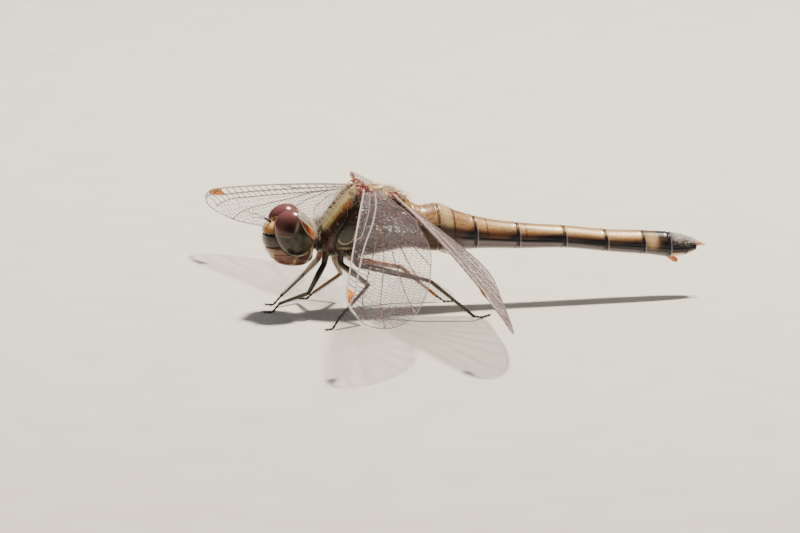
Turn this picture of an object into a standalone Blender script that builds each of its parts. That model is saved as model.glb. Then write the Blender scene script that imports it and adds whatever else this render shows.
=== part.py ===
"""A female common darter, Sympetrum striolatum, standing at rest, at life size.

The insect faces -X with its left side towards -Y.  Every length below is in
millimetres, x being measured from under the hinges of the forewings, and is
turned into metres as a mesh is made.  At the end all pieces are shifted so
that the origin lies on the floor, below the middle of the bounding box.
"""
import math

import bmesh
import bpy
import numpy as np
from mathutils import Vector

MM = 0.001
GAP = 0.03          # clearance between two pieces that meet

# Head: stations of x, top, bottom and half width, from the face to the neck.
HEAD = (
    (-8.98, 7.60, 6.35, 0.55),
    (-8.85, 7.98, 5.95, 0.95),
    (-8.50, 8.25, 5.45, 1.30),
    (-7.75, 8.35, 4.90, 1.55),
    (-6.90, 8.20, 4.50, 1.70),
    (-6.00, 8.20, 4.25, 2.00),
    (-5.30, 8.25, 4.40, 2.35),
    (-4.90, 7.85, 4.95, 2.10),
)
FACE_BACK_X = -7.75             # the face plates end here
FRONS_BOTTOM_Z = 6.95
CLYPEUS_BOTTOM_Z = 5.95
LABIUM_TOP_Z = 5.00

EYE_CENTRE = (-6.50, 1.42, 7.18)
EYE_RADII = (1.68, 1.62, 2.08)
EYE_LEAN = 20.0                 # degrees, its top leaning forwards
EYE_SQUARENESS = 2.3

ANTENNA_PATH = ((-8.35, 0.40, 8.10), (-9.20, 0.85, 8.55), (-10.35, 1.60, 8.72))
FEELER_RADIUS = 0.25

PROTHORAX = (
    (-4.84, 7.40, 5.75, 0.95),
    (-4.60, 7.80, 5.50, 1.25),
    (-4.30, 8.00, 5.32, 1.40),
    (-4.05, 7.90, 5.30, 1.42),
)

THORAX = (
    (-4.00, 7.95, 5.35, 1.45),
    (-3.50, 8.60, 4.98, 1.95),
    (-2.60, 9.75, 4.66, 2.35),
    (-1.60, 10.75, 4.60, 2.60),
    (-0.10, 11.00, 4.75, 2.70),
    (1.20, 10.75, 4.95, 2.65),
    (2.40, 10.45, 5.15, 2.45),
    (3.40, 9.90, 5.25, 2.10),
    (4.00, 9.35, 5.25, 1.85),
)

# Abdomen: stations of x, top, bottom and half width along all ten segments.
ABDOMEN = (
    (4.00, 9.20, 5.30, 1.80),
    (4.65, 8.85, 5.10, 1.85),
    (6.60, 8.99, 4.88, 1.95),
    (7.90, 8.38, 4.90, 1.80),
    (9.90, 7.72, 4.92, 1.52),
    (13.70, 7.02, 4.76, 1.28),
    (17.90, 6.58, 4.62, 1.30),
    (21.80, 6.08, 4.12, 1.32),
    (25.10, 5.84, 3.74, 1.25),
    (27.45, 5.56, 3.44, 1.10),
    (28.90, 5.15, 3.66, 0.85),
    (29.50, 4.92, 3.88, 0.66),
)
ABDOMEN_JOINTS = (4.00, 4.35, 6.22, 9.52, 13.38, 17.52, 21.25, 24.64, 26.97, 28.50, 29.50)
JOINT_PINCH = 0.96              # how far each segment narrows at its two ends
CERCUS_PATH = ((29.53, 0.32, 4.52), (29.95, 0.36, 4.55), (30.45, 0.34, 4.40))
CERCUS_RADII = (0.27, 0.28, 0.16)
SCALE_PATH = ((26.90, 0.0, 3.85), (27.45, 0.0, 3.32), (27.95, 0.0, 2.98))
SCALE_RADII = (0.30, 0.30, 0.25)

# Wings: length, the plan's stations of span share and chord, the hinge of
# the leading edge, and how the left and the right one are held.
WING_THICKNESS = 0.5
WING_STATIONS = 26
TIP_START = 0.86                # where the leading edge starts to round to the tip
TIP_SETBACK = 2.0
TIP_WIDTH = 0.3
FOREWING_LENGTH = 29.0
FOREWING_CHORDS = (
    (0.00, 1.7), (0.05, 2.1), (0.10, 2.9), (0.20, 4.6), (0.30, 5.7), (0.40, 6.4), (0.50, 6.7),
    (0.60, 6.8), (0.70, 6.6), (0.80, 6.1), (0.88, 5.2), (0.94, 4.2), (0.98, 3.1), (1.00, 2.2),
)
FOREWING_HINGE = (-0.35, 1.30, 10.55)
HINDWING_LENGTH = 27.8
HINDWING_CHORDS = (
    (0.00, 2.2), (0.03, 3.4), (0.08, 6.4), (0.13, 8.8), (0.20, 9.5), (0.30, 9.3), (0.42, 8.7),
    (0.55, 8.1), (0.65, 7.5), (0.75, 6.7), (0.85, 5.6), (0.92, 4.5), (0.97, 3.3), (1.00, 2.2),
)
HINDWING_HINGE = (2.10, 1.40, 10.10)
# Degrees: sweep to the rear, droop below level, pitch of the chord at the
# root and at the tip, and how much the droop grows along the span.
WING_POSES = {
    "forewing_left": (-16.0, 9.0, 0.0, 36.0, 4.5),
    "forewing_right": (-18.5, 9.8, 6.0, 48.0, 4.5),
    "hindwing_left": (4.5, 9.0, 35.0, 56.0, 7.0),
    "hindwing_right": (5.4, 6.3, 36.0, 60.0, 0.0),
}

# Legs: root, trochanter, knee, ankle, heel and toe of each, on its own side.
LEG_PATHS = {
    "foreleg_left": (
        (-3.55, -0.85, 5.60), (-3.85, -1.20, 4.35), (-5.67, -3.30, 2.30),
        (-7.56, -0.30, 0.90), (-8.15, -0.05, 0.20), (-8.80, 0.20, 0.20),
    ),
    "foreleg_right": (
        (-3.55, 0.85, 5.60), (-3.85, 1.25, 4.35), (-4.50, 4.30, 2.42),
        (-6.78, 2.65, 1.00), (-7.45, 3.05, 0.20), (-8.05, 3.42, 0.20),
    ),
    "middle_leg_left": (
        (-2.50, -0.90, 5.50), (-2.45, -1.55, 4.30), (-0.96, -5.75, 3.30),
        (-4.00, -7.80, 0.90), (-4.60, -8.05, 0.20), (-5.20, -8.30, 0.20),
    ),
    "middle_leg_right": (
        (-2.50, 0.90, 5.50), (-2.40, 1.40, 4.30), (-1.28, 3.80, 2.45),
        (-3.45, 4.85, 0.70), (-4.05, 5.05, 0.20), (-4.70, 5.25, 0.20),
    ),
    "hindleg_left": (
        (-1.40, -0.95, 5.50), (-1.00, -1.55, 4.25), (4.50, -5.40, 3.30),
        (7.93, -7.05, 0.42), (8.80, -6.20, 0.20), (9.75, -5.30, 0.20),
    ),
    "hindleg_right": (
        (-1.40, 0.95, 5.50), (-1.00, 1.40, 4.20), (3.80, 2.60, 3.00),
        (6.70, 1.45, 0.55), (7.30, 1.25, 0.20), (8.05, 1.10, 0.20),
    ),
}
COXA_RADIUS = 0.40
FEMUR_RADIUS = 0.28
SHIN_RADIUS = 0.25              # of the tibia and of the tarsus
FLOOR_Z = 0.0

BODY_SIDES = 24
LIMB_SIDES = 8

COLOURS = {
    "cuticle_brown": ("#5A3A24", 0.45),
    "cuticle_tan": ("#B98552", 0.40),
    "face_amber": ("#B8813F", 0.40),
    "eye_maroon": ("#4A2320", 0.12),
    "leg_black": ("#1B1614", 0.35),
    "appendage_orange": ("#C06A38", 0.40),
    "wing_membrane": ("#C9CCD0", 0.20),
}


def clear_scene():
    """Remove whatever the open scene holds."""
    for thing in list(bpy.data.objects):
        bpy.data.objects.remove(thing, do_unlink=True)


def hex_to_linear(code):
    """A screen colour such as #5A3A24 as linear red, green, blue and alpha."""
    parts = [int(code[i:i + 2], 16) / 255.0 for i in (1, 3, 5)]
    return [c / 12.92 if c <= 0.04045 else ((c + 0.055) / 1.055) ** 2.4 for c in parts] + [1.0]


def make_material(name):
    """The named material of COLOURS, made once."""
    if name in bpy.data.materials:
        return bpy.data.materials[name]
    code, roughness = COLOURS[name]
    material = bpy.data.materials.new(name)
    material.use_nodes = True
    shader = material.node_tree.nodes["Principled BSDF"]
    shader.inputs["Base Color"].default_value = hex_to_linear(code)
    shader.inputs["Roughness"].default_value = roughness
    shader.inputs["Metallic"].default_value = 0.0
    return material


def add_piece(name, points, faces, material):
    """A smooth-shaded object from points in millimetres, facing outwards."""
    mesh = bpy.data.meshes.new(name)
    mesh.from_pydata([tuple(p) for p in np.asarray(points) * MM], [], faces)
    work = bmesh.new()
    work.from_mesh(mesh)
    bmesh.ops.recalc_face_normals(work, faces=work.faces)
    work.to_mesh(mesh)
    work.free()
    mesh.materials.append(make_material(material))
    mesh.shade_smooth()
    mesh.set_sharp_from_angle(angle=math.radians(40.0))
    piece = bpy.data.objects.new(name, mesh)
    bpy.context.collection.objects.link(piece)
    return piece


def add_loft(name, rings, material):
    """A closed body through rings of equal length, capped at both ends."""
    rings = np.asarray(rings)
    count, sides = rings.shape[:2]
    faces = [tuple(range(sides)), tuple(range((count - 1) * sides, count * sides))]
    for i in range(count - 1):
        for j in range(sides):
            k = (j + 1) % sides
            faces.append((i * sides + j, i * sides + k, (i + 1) * sides + k, (i + 1) * sides + j))
    return add_piece(name, rings.reshape(-1, 3), faces, material)


def smooth_curve(knots, values, at):
    """Values between knots on a cubic whose slopes are the knots' mean slopes."""
    knots = np.asarray(knots, float)
    values = np.asarray(values, float)
    at = np.atleast_1d(np.asarray(at, float))
    slopes = np.gradient(values, knots)
    i = np.clip(np.searchsorted(knots, at) - 1, 0, len(knots) - 2)
    width = knots[i + 1] - knots[i]
    t = (at - knots[i]) / width
    start = (1 + 2 * t) * (1 - t) ** 2 * values[i] + t * (1 - t) ** 2 * width * slopes[i]
    end = t ** 2 * (3 - 2 * t) * values[i + 1] + t ** 2 * (t - 1) * width * slopes[i + 1]
    return start + end


def body_rings(stations, at, waist=0.45, squareness=(2.0, 2.5), sides=BODY_SIDES):
    """Upright oval rings at the given x values.

    Each is widest at the waist's share of its height; its upper and lower
    halves are superellipses of the two squareness exponents.
    """
    table = np.array(stations)
    top, bottom, half = (smooth_curve(table[:, 0], table[:, i], at) for i in (1, 2, 3))
    angle = 2 * math.pi * (np.arange(sides) + 0.5) / sides
    across, rise = np.cos(angle), np.sin(angle)
    power = np.where(rise > 0, 2.0 / squareness[0], 2.0 / squareness[1])
    unit_y = np.sign(across) * np.abs(across) ** power
    unit_z = np.sign(rise) * np.abs(rise) ** power
    middle = bottom + waist * (top - bottom)
    reach = np.where(rise > 0, (top - middle)[:, None], (middle - bottom)[:, None])
    x = np.repeat(np.asarray(at, float)[:, None], sides, axis=1)
    y = half[:, None] * unit_y
    z = middle[:, None] + reach * unit_z
    return np.stack([x, y, z], axis=-1)


def tube_rings(path, radii, sides=LIMB_SIDES, first_normal=None, last_normal=None):
    """Rings of a round limb along a bent path, mitred at each bend.

    The ring at a bend lies in the plane that halves the angle, so two pieces
    that end there meet face to face.
    """
    path = np.asarray(path, float)
    legs = np.diff(path, axis=0)
    legs /= np.linalg.norm(legs, axis=1)[:, None]
    normals = np.vstack([legs[:1], legs[:-1] + legs[1:], legs[-1:]])
    if first_normal is not None:
        normals[0] = first_normal
    if last_normal is not None:
        normals[-1] = last_normal
    helper = np.array([0.0, 0.0, 1.0]) if abs(legs[0][2]) < 0.9 else np.array([0.0, 1.0, 0.0])
    side = np.cross(legs[0], helper)
    side /= np.linalg.norm(side)
    over = np.cross(side, legs[0])
    angle = 2 * math.pi * (np.arange(sides) + 0.5) / sides
    spokes = np.cos(angle)[:, None] * side + np.sin(angle)[:, None] * over
    rings = []
    for i, normal in enumerate(normals):
        along = legs[min(i, len(legs) - 1)] if i == 0 else legs[i - 1]
        mitre = spokes - np.outer(spokes @ normal / (along @ normal), along)
        rings.append(path[i] + radii[i] * mitre)
        if 0 < i < len(legs):
            spokes = mitre - np.outer(mitre @ legs[i], legs[i])
    return np.array(rings)


def swollen_copy(piece, name):
    """A hidden cutter: the piece grown by the gap along its own normals."""
    mesh = piece.data.copy()
    normals = np.empty(len(mesh.vertices) * 3)
    mesh.vertices.foreach_get("normal", normals)
    places = np.empty(len(mesh.vertices) * 3)
    mesh.vertices.foreach_get("co", places)
    mesh.vertices.foreach_set("co", places + normals * GAP * MM)
    cutter = bpy.data.objects.new(name, mesh)
    bpy.context.collection.objects.link(cutter)
    cutter.hide_render = True
    cutter.display_type = "WIRE"
    return cutter


def cut_away(piece, cutter):
    """Take the cutter's volume from the piece."""
    boolean = piece.modifiers.new("cut_" + cutter.name, "BOOLEAN")
    boolean.operation = "DIFFERENCE"
    boolean.solver = "EXACT"
    boolean.object = cutter


def keep_beyond(piece, place, direction):
    """Slice the piece's mesh with a plane and keep what lies along direction."""
    work = bmesh.new()
    work.from_mesh(piece.data)
    everything = work.verts[:] + work.edges[:] + work.faces[:]
    bmesh.ops.bisect_plane(
        work, geom=everything, dist=1e-9, plane_co=Vector(place) * MM,
        plane_no=Vector(direction), clear_inner=True,
    )
    rim = [edge for edge in work.edges if edge.is_boundary]
    bmesh.ops.holes_fill(work, edges=rim, sides=0)
    bmesh.ops.recalc_face_normals(work, faces=work.faces)
    work.to_mesh(piece.data)
    work.free()


def add_head_form(name, material):
    """The whole head without its eyes, as one loft from face to neck."""
    table = np.array(HEAD)
    at = np.concatenate([table[:2, 0], np.linspace(-8.6, -5.4, 9), table[-2:, 0]])
    return add_loft(name, body_rings(HEAD, at, waist=0.5, squareness=(2.4, 2.2)), material)


def build_head():
    """Cranium and face plates, sliced from one form; returns its cutter."""
    cutter = swollen_copy(add_head_form("head_form", "face_amber"), "head_cutter")
    bpy.data.objects.remove(bpy.data.objects["head_form"], do_unlink=True)
    half = GAP / 2
    face = ((FACE_BACK_X - half, 0, 0), (-1, 0, 0))
    back = ((FACE_BACK_X + half, 0, 0), (1, 0, 0))
    plates = {
        "cranium": ("cuticle_tan", (back, ((0, 0, LABIUM_TOP_Z + half), (0, 0, 1)))),
        "labium": ("cuticle_brown", (back, ((0, 0, LABIUM_TOP_Z - half), (0, 0, -1)))),
        "frons": ("face_amber", (face, ((0, 0, FRONS_BOTTOM_Z + half), (0, 0, 1)))),
        "clypeus": ("face_amber", (
            face,
            ((0, 0, FRONS_BOTTOM_Z - half), (0, 0, -1)),
            ((0, 0, CLYPEUS_BOTTOM_Z + half), (0, 0, 1)),
        )),
        "labrum": ("cuticle_brown", (face, ((0, 0, CLYPEUS_BOTTOM_Z - half), (0, 0, -1)))),
    }
    for name, (material, planes) in plates.items():
        plate = add_head_form(name, material)
        for place, direction in planes:
            keep_beyond(plate, place, direction)
    return cutter


def build_eye(name, side, head_cutter):
    """A large squarish globe, cut at the midline and around the head."""
    rings, sides = 15, BODY_SIDES
    polar = math.pi * np.arange(1, rings)[:, None] / rings
    turn = 2 * math.pi * np.arange(sides)[None, :] / sides
    unit = np.stack([
        np.sin(polar) * np.cos(turn),
        np.sin(polar) * np.sin(turn),
        np.cos(polar) * np.ones_like(turn),
    ], axis=-1)
    poles = np.array([[0, 0, 1.0], [0, 0, -1.0]])
    unit = np.vstack([unit.reshape(-1, 3), poles])
    size = (np.abs(unit) ** EYE_SQUARENESS).sum(axis=1) ** (-1.0 / EYE_SQUARENESS)
    local = unit * size[:, None] * np.array(EYE_RADII)
    lean = math.radians(EYE_LEAN)
    x = local[:, 0] * math.cos(lean) - local[:, 2] * math.sin(lean)
    z = local[:, 0] * math.sin(lean) + local[:, 2] * math.cos(lean)
    centre = np.array([EYE_CENTRE[0], side * EYE_CENTRE[1], EYE_CENTRE[2]])
    points = np.stack([x, local[:, 1], z], axis=-1) + centre
    faces = []
    last = (rings - 2) * sides
    top, bottom = len(points) - 2, len(points) - 1
    for j in range(sides):
        k = (j + 1) % sides
        faces.append((top, j, k))
        faces.append((bottom, last + k, last + j))
        for i in range(rings - 2):
            faces.append((i * sides + j, (i + 1) * sides + j, (i + 1) * sides + k, i * sides + k))
    eye = add_piece(name, points, faces, "eye_maroon")
    keep_beyond(eye, (0, side * GAP / 2, 0), (0, side, 0))
    cut_away(eye, head_cutter)


def build_antenna(name, side, head_cutter):
    """A short bristle from above the frons, forwards and outwards."""
    path = [(x, side * y, z) for x, y, z in ANTENNA_PATH]
    antenna = add_loft(name, tube_rings(path, [FEELER_RADIUS] * 3), "leg_black")
    cut_away(antenna, head_cutter)


def build_thorax():
    """The wing-bearing thorax and, before it, the small prothorax."""
    thorax_at = np.linspace(THORAX[0][0], THORAX[-1][0], 17)
    thorax = add_loft("thorax", body_rings(THORAX, thorax_at), "cuticle_brown")
    prothorax_at = np.linspace(PROTHORAX[0][0], PROTHORAX[-1][0], 5)
    add_loft("prothorax", body_rings(PROTHORAX, prothorax_at, waist=0.5), "cuticle_brown")
    return swollen_copy(thorax, "thorax_cutter")


def build_abdomen():
    """Ten segments, each slightly pinched at its ends; returns their cutters."""
    cutters = []
    for number, (start, end) in enumerate(zip(ABDOMEN_JOINTS[:-1], ABDOMEN_JOINTS[1:]), 1):
        near, far = start + GAP / 2, end - GAP / 2
        shoulder = min(0.18, (far - near) / 4)
        at = np.concatenate([[near], np.linspace(near + shoulder, far - shoulder, 4), [far]])
        rings = body_rings(ABDOMEN, at, waist=0.42, squareness=(2.0, 2.4), sides=BODY_SIDES - 4)
        for i in (0, -1):
            centre = rings[i].mean(axis=0)
            rings[i] = centre + (rings[i] - centre) * JOINT_PINCH
        segment = add_loft(f"abdomen_{number:02d}", rings, "cuticle_tan")
        cutters.append(swollen_copy(segment, f"abdomen_cutter_{number:02d}"))
    return cutters


def build_tail(scale_cutters):
    """The two cerci at the tip and the vulvar scale under segment eight."""
    for word, side in (("left", -1), ("right", 1)):
        path = [(x, side * y, z) for x, y, z in CERCUS_PATH]
        rings = tube_rings(path, CERCUS_RADII, first_normal=(1, 0, 0))
        add_loft("cercus_" + word, rings, "appendage_orange")
    scale = add_loft("vulvar_scale", tube_rings(SCALE_PATH, SCALE_RADII), "appendage_orange")
    for cutter in scale_cutters:
        cut_away(scale, cutter)


def build_wing(name, length, chords, hinge, cutters):
    """A thin twisted blade that droops along its span, fitted to the body."""
    side = -1 if name.endswith("left") else 1
    sweep, droop, root_pitch, tip_pitch, bend = np.radians(WING_POSES[name])
    share = (1 - np.cos(np.linspace(0.0, math.pi, WING_STATIONS))) / 2
    knots = np.array(chords)
    chord = smooth_curve(knots[:, 0], knots[:, 1], share)
    into_tip = np.clip((share - TIP_START) / (1 - TIP_START), 0, 1)
    setback = TIP_SETBACK * (1 - np.sqrt(1 - into_tip ** 2))
    drop = droop + bend * (share - 0.5)
    span = np.stack([
        math.sin(sweep) * np.cos(drop), side * math.cos(sweep) * np.cos(drop), -np.sin(drop),
    ], axis=-1)
    steps = np.vstack([np.zeros(3), span[:-1] * length * np.diff(share)[:, None]])
    edge = np.array([hinge[0], side * hinge[1], hinge[2]]) + np.cumsum(steps, axis=0)
    level = np.array([math.cos(sweep), -side * math.sin(sweep), 0.0]) * np.ones((WING_STATIONS, 1))
    under = np.cross(span, level)
    under *= -np.sign(under[:, 2:3])
    pitch = (root_pitch + (tip_pitch - root_pitch) * share)[:, None]
    back = level * np.cos(pitch) + under * np.sin(pitch)
    lift = np.cross(span, back) * WING_THICKNESS / 2
    lead = edge + back * setback[:, None]
    trail = edge + back * np.maximum(chord, setback + TIP_WIDTH)[:, None]
    rings = np.stack([lead + lift, trail + lift, trail - lift, lead - lift], axis=1)
    wing = add_loft(name, rings, "wing_membrane")
    for cutter in cutters:
        cut_away(wing, cutter)


def build_leg(name, path, thorax_cutter):
    """Femur with its hip, tibia and tarsus, parted at the knee and ankle."""
    path = np.array(path)
    knee, ankle = 2, 3
    runs = np.diff(path, axis=0)
    runs /= np.linalg.norm(runs, axis=1)[:, None]
    knee_plane = runs[knee - 1] + runs[knee]
    ankle_plane = runs[ankle - 1] + runs[ankle]
    half = GAP / 2

    femur = path[:knee + 1].copy()
    femur[-1] -= runs[knee - 1] * half
    radii = (COXA_RADIUS, FEMUR_RADIUS + 0.06, FEMUR_RADIUS)
    thigh = add_loft(name + "_femur", tube_rings(femur, radii, last_normal=knee_plane), "leg_black")
    cut_away(thigh, thorax_cutter)

    tibia = path[knee:ankle + 1].copy()
    tibia[0] += runs[knee] * half
    tibia[1] -= runs[knee] * half
    rings = tube_rings(tibia, (SHIN_RADIUS,) * 2, first_normal=knee_plane, last_normal=ankle_plane)
    add_loft(name + "_tibia", rings, "leg_black")

    tarsus = path[ankle:].copy()
    tarsus[0] += runs[ankle] * half
    rings = tube_rings(tarsus, (SHIN_RADIUS,) * len(tarsus), first_normal=ankle_plane)
    rings[:, :, 2] = np.maximum(rings[:, :, 2], FLOOR_Z)
    add_loft(name + "_tarsus", rings, "leg_black")


def stand_on_origin():
    """Shift every mesh so that the origin is below the box's middle."""
    pieces = [thing for thing in bpy.data.objects if thing.type == "MESH"]
    shown = [thing for thing in pieces if not thing.hide_render]
    places = np.vstack([[v.co for v in piece.data.vertices] for piece in shown])
    low, high = places.min(axis=0), places.max(axis=0)
    shift = Vector(((low[0] + high[0]) / 2, (low[1] + high[1]) / 2, low[2]))
    for piece in pieces:
        piece.location = -shift


def main():
    clear_scene()
    head_cutter = build_head()
    thorax_cutter = build_thorax()
    abdomen_cutters = build_abdomen()
    fore = (FOREWING_LENGTH, FOREWING_CHORDS, FOREWING_HINGE, [thorax_cutter])
    hind = (HINDWING_LENGTH, HINDWING_CHORDS, HINDWING_HINGE, [thorax_cutter] + abdomen_cutters[:2])
    for word, side in (("left", -1), ("right", 1)):
        build_eye("eye_" + word, side, head_cutter)
        build_antenna("antenna_" + word, side, head_cutter)
        build_wing("forewing_" + word, *fore)
        build_wing("hindwing_" + word, *hind)
    build_tail(abdomen_cutters[7:9])
    for name, path in LEG_PATHS.items():
        build_leg(name, path, thorax_cutter)
    stand_on_origin()


if __name__ == "__main__":
    main()
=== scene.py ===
import math

import bpy
import numpy as np
from bpy.props import FloatProperty, FloatVectorProperty, IntProperty, PointerProperty
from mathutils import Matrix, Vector
from mathutils.geometry import delaunay_2d_cdt


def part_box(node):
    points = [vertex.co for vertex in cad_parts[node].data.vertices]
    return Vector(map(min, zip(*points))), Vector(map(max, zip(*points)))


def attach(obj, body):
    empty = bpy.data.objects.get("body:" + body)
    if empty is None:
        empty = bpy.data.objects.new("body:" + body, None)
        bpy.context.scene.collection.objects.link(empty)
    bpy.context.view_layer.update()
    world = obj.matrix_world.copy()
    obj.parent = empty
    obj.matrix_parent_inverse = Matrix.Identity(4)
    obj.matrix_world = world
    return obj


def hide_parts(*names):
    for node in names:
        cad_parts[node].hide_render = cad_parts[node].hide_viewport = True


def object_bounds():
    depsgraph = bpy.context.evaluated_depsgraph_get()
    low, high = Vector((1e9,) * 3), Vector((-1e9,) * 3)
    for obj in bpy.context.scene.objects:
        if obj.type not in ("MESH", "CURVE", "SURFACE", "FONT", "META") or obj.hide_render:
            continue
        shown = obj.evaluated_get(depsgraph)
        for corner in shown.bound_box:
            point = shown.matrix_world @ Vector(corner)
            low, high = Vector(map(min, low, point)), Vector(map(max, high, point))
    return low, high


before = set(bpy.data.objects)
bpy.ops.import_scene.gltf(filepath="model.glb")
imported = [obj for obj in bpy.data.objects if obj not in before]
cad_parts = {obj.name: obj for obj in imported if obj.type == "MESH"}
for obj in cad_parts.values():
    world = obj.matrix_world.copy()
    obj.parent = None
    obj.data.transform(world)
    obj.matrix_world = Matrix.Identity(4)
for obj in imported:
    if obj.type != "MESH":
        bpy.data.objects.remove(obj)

CAD_BOX = [list(corner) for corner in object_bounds()]

bl_info = {
    "name": "Common darter",
    "version": (1, 0, 0),
    "blender": (4, 5, 0),
    "location": "View3D > Sidebar > Darter",
    "description": "Dresses the solids of a life-size dragonfly with shells, wings, hair and finishes",
    "category": "Object",
}

# Lengths are in millimetres, with x measured rearwards from under the forewing hinges,
# y to the right and z up from the floor.  The thorax spans x = -4 to 4 and y evenly about
# 0, so the middle of its box is the origin of these lengths in the frame.
MM = 0.001
THORAX_LOW, THORAX_HIGH = (np.array(corner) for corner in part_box("thorax"))
ORIGIN = np.array([(THORAX_LOW[0] + THORAX_HIGH[0]) / 2, (THORAX_LOW[1] + THORAX_HIGH[1]) / 2, 0.0])
MIRROR = np.array([1.0, -1.0, 1.0])
SIDES = (("left", -1), ("right", 1))

# ------------------------------------------------------------------ the body
# Each part of the body is a table of stations: x, top, bottom and half width.
HEAD = (
    (-8.98, 7.60, 6.35, 0.55), (-8.85, 7.98, 5.95, 0.95), (-8.50, 8.25, 5.45, 1.30),
    (-7.75, 8.35, 4.90, 1.55), (-6.90, 8.20, 4.50, 1.70), (-6.00, 8.20, 4.25, 2.00),
    (-5.30, 8.25, 4.40, 2.35), (-4.90, 7.85, 4.95, 2.10),
)
PROTHORAX = (
    (-4.84, 7.40, 5.75, 0.95), (-4.60, 7.80, 5.50, 1.25),
    (-4.30, 8.00, 5.32, 1.40), (-4.05, 7.90, 5.30, 1.42),
)
THORAX = (
    (-4.00, 7.95, 5.35, 1.45), (-3.50, 8.60, 4.98, 1.95), (-2.60, 9.75, 4.66, 2.35),
    (-1.60, 10.75, 4.60, 2.60), (-0.10, 11.00, 4.75, 2.70), (1.20, 10.75, 4.95, 2.65),
    (2.40, 10.45, 5.15, 2.45), (3.40, 9.90, 5.25, 2.10), (4.00, 9.35, 5.25, 1.85),
)
ABDOMEN = (
    (4.00, 9.20, 5.30, 1.80), (4.65, 8.95, 5.10, 1.85), (6.60, 8.99, 4.88, 1.95),
    (7.90, 8.38, 4.90, 1.80), (9.90, 7.72, 4.92, 1.52), (13.70, 7.02, 4.76, 1.28),
    (17.90, 6.58, 4.62, 1.30), (21.80, 6.08, 4.12, 1.32), (25.10, 5.84, 3.74, 1.25),
    (27.45, 5.56, 3.44, 1.10), (28.90, 5.15, 3.66, 0.85), (29.50, 4.92, 3.88, 0.66),
)
ABDOMEN_JOINTS = (4.00, 4.35, 6.22, 9.52, 13.38, 17.52, 21.25, 24.64, 26.97, 28.50, 29.50)
# Shares of each ring's height at which it is widest, and the exponents of its upper and
# lower halves.
HEAD_RING, COLLAR_RING = (0.5, (2.4, 2.2)), (0.5, (2.0, 2.3))
THORAX_RING, ABDOMEN_RING = (0.45, (2.0, 2.5)), (0.42, (2.0, 2.4))

# Sutures of the thorax's side, as x and z from the wing base down to the hips.
SUTURES = (
    ((-0.84, 10.8), (-1.55, 9.5), (-2.35, 8.0), (-2.96, 7.1), (-3.15, 6.1), (-2.9, 5.2)),
    ((1.00, 10.5), (0.30, 9.2), (-0.55, 7.8), (-1.10, 6.7), (-1.45, 5.4)),
    ((2.90, 9.9), (2.20, 8.6), (1.40, 7.4), (0.75, 6.2), (0.20, 5.1)),
)
# Hoops of the collar: x and width.
COLLAR_HOOPS = ((-4.62, 0.07), (-4.30, 0.09), (-4.05, 0.05))
# Pale marks of the collar: x, z, half width and half height.
COLLAR_MARKS = ((-4.50, 7.25, 0.10, 0.22), (-4.62, 7.65, 0.08, 0.14), (-4.28, 6.85, 0.06, 0.20))
# Height of the dark line along the abdomen's side, as x and share of the ring's height.
SIDE_LINE = ((9.5, 13.4, 17.5, 21.3, 24.6, 28.5), (0.37, 0.37, 0.34, 0.30, 0.27, 0.26))
# Thin dark hoops across the abdomen's front segments: x, the height share at which they
# start, and width.
CARINAE = ((5.22, 0.30, 0.04), (7.58, 0.20, 0.075), (10.56, 0.30, 0.05), (14.10, 0.42, 0.045))

EYE_CENTRE = (-6.50, 1.42, 7.18)
EYE_RADII = (1.68, 1.62, 2.08)
EYE_LEAN = 20.0
EYE_SQUARENESS = 2.15
# Dark spots of the lower eye: x, z, half width and half height.
EYE_SPOTS = (
    (-6.80, 7.12, 0.13, 0.28), (-7.35, 6.76, 0.13, 0.18), (-6.08, 6.45, 0.12, 0.28),
    (-6.50, 5.96, 0.13, 0.18), (-6.95, 5.74, 0.17, 0.13), (-6.05, 7.20, 0.16, 0.30),
    (-6.95, 6.35, 0.09, 0.18), (-6.30, 5.62, 0.20, 0.10),
)

# The face: height, how far forward it reaches at the midline, and its half width.
FACE = (
    (4.55, -7.50, 1.05), (4.90, -8.02, 1.35), (5.35, -8.46, 1.52), (5.90, -8.78, 1.66),
    (6.40, -8.92, 1.72), (6.90, -8.93, 1.70), (7.30, -8.96, 1.62), (7.65, -8.86, 1.45),
    (7.92, -8.62, 1.18), (8.12, -8.20, 0.80),
)
FACE_MIDDLE = -7.0              # x about which the face bulges forward
# Heights between which each plate of the face lies.
FACE_PLATES = {"frons": (7.04, 8.12), "clypeus": (5.92, 7.06), "labrum": (4.62, 5.94)}

# The temple plate lies over the upper rear of the eye, between a front and a rear edge.
TEMPLE_FRONT = ((-6.40, 2.55, 8.70), (-5.80, 2.85, 7.55), (-4.98, 2.25, 6.67))
TEMPLE_REAR = ((-6.20, 1.50, 9.00), (-5.30, 1.90, 8.45), (-4.85, 1.20, 7.70))

ANTENNA_PATH = ((-8.35, 0.40, 8.10), (-9.20, 0.85, 8.55), (-10.35, 1.60, 8.72))
CERCUS_PATH = ((29.30, 0.32, 4.50), (29.80, 0.36, 4.54), (30.40, 0.34, 4.40))
SCALE_PATH = ((26.90, 0.0, 3.85), (27.45, 0.0, 3.32), (27.95, 0.0, 2.98))

# ----------------------------------------------------------------- the wings
WING_STATIONS = 26
# The tip: the share of the span where its rounding starts, how far back it is set at the
# end, and its width there.
TIP_START, TIP_SETBACK, TIP_WIDTH = 0.86, 2.0, 0.3
PLEAT_HEIGHT, PLEAT_PITCH, PLEAT_FADE = 0.12, 1.2, 2.2      # folds of the wing film
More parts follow.
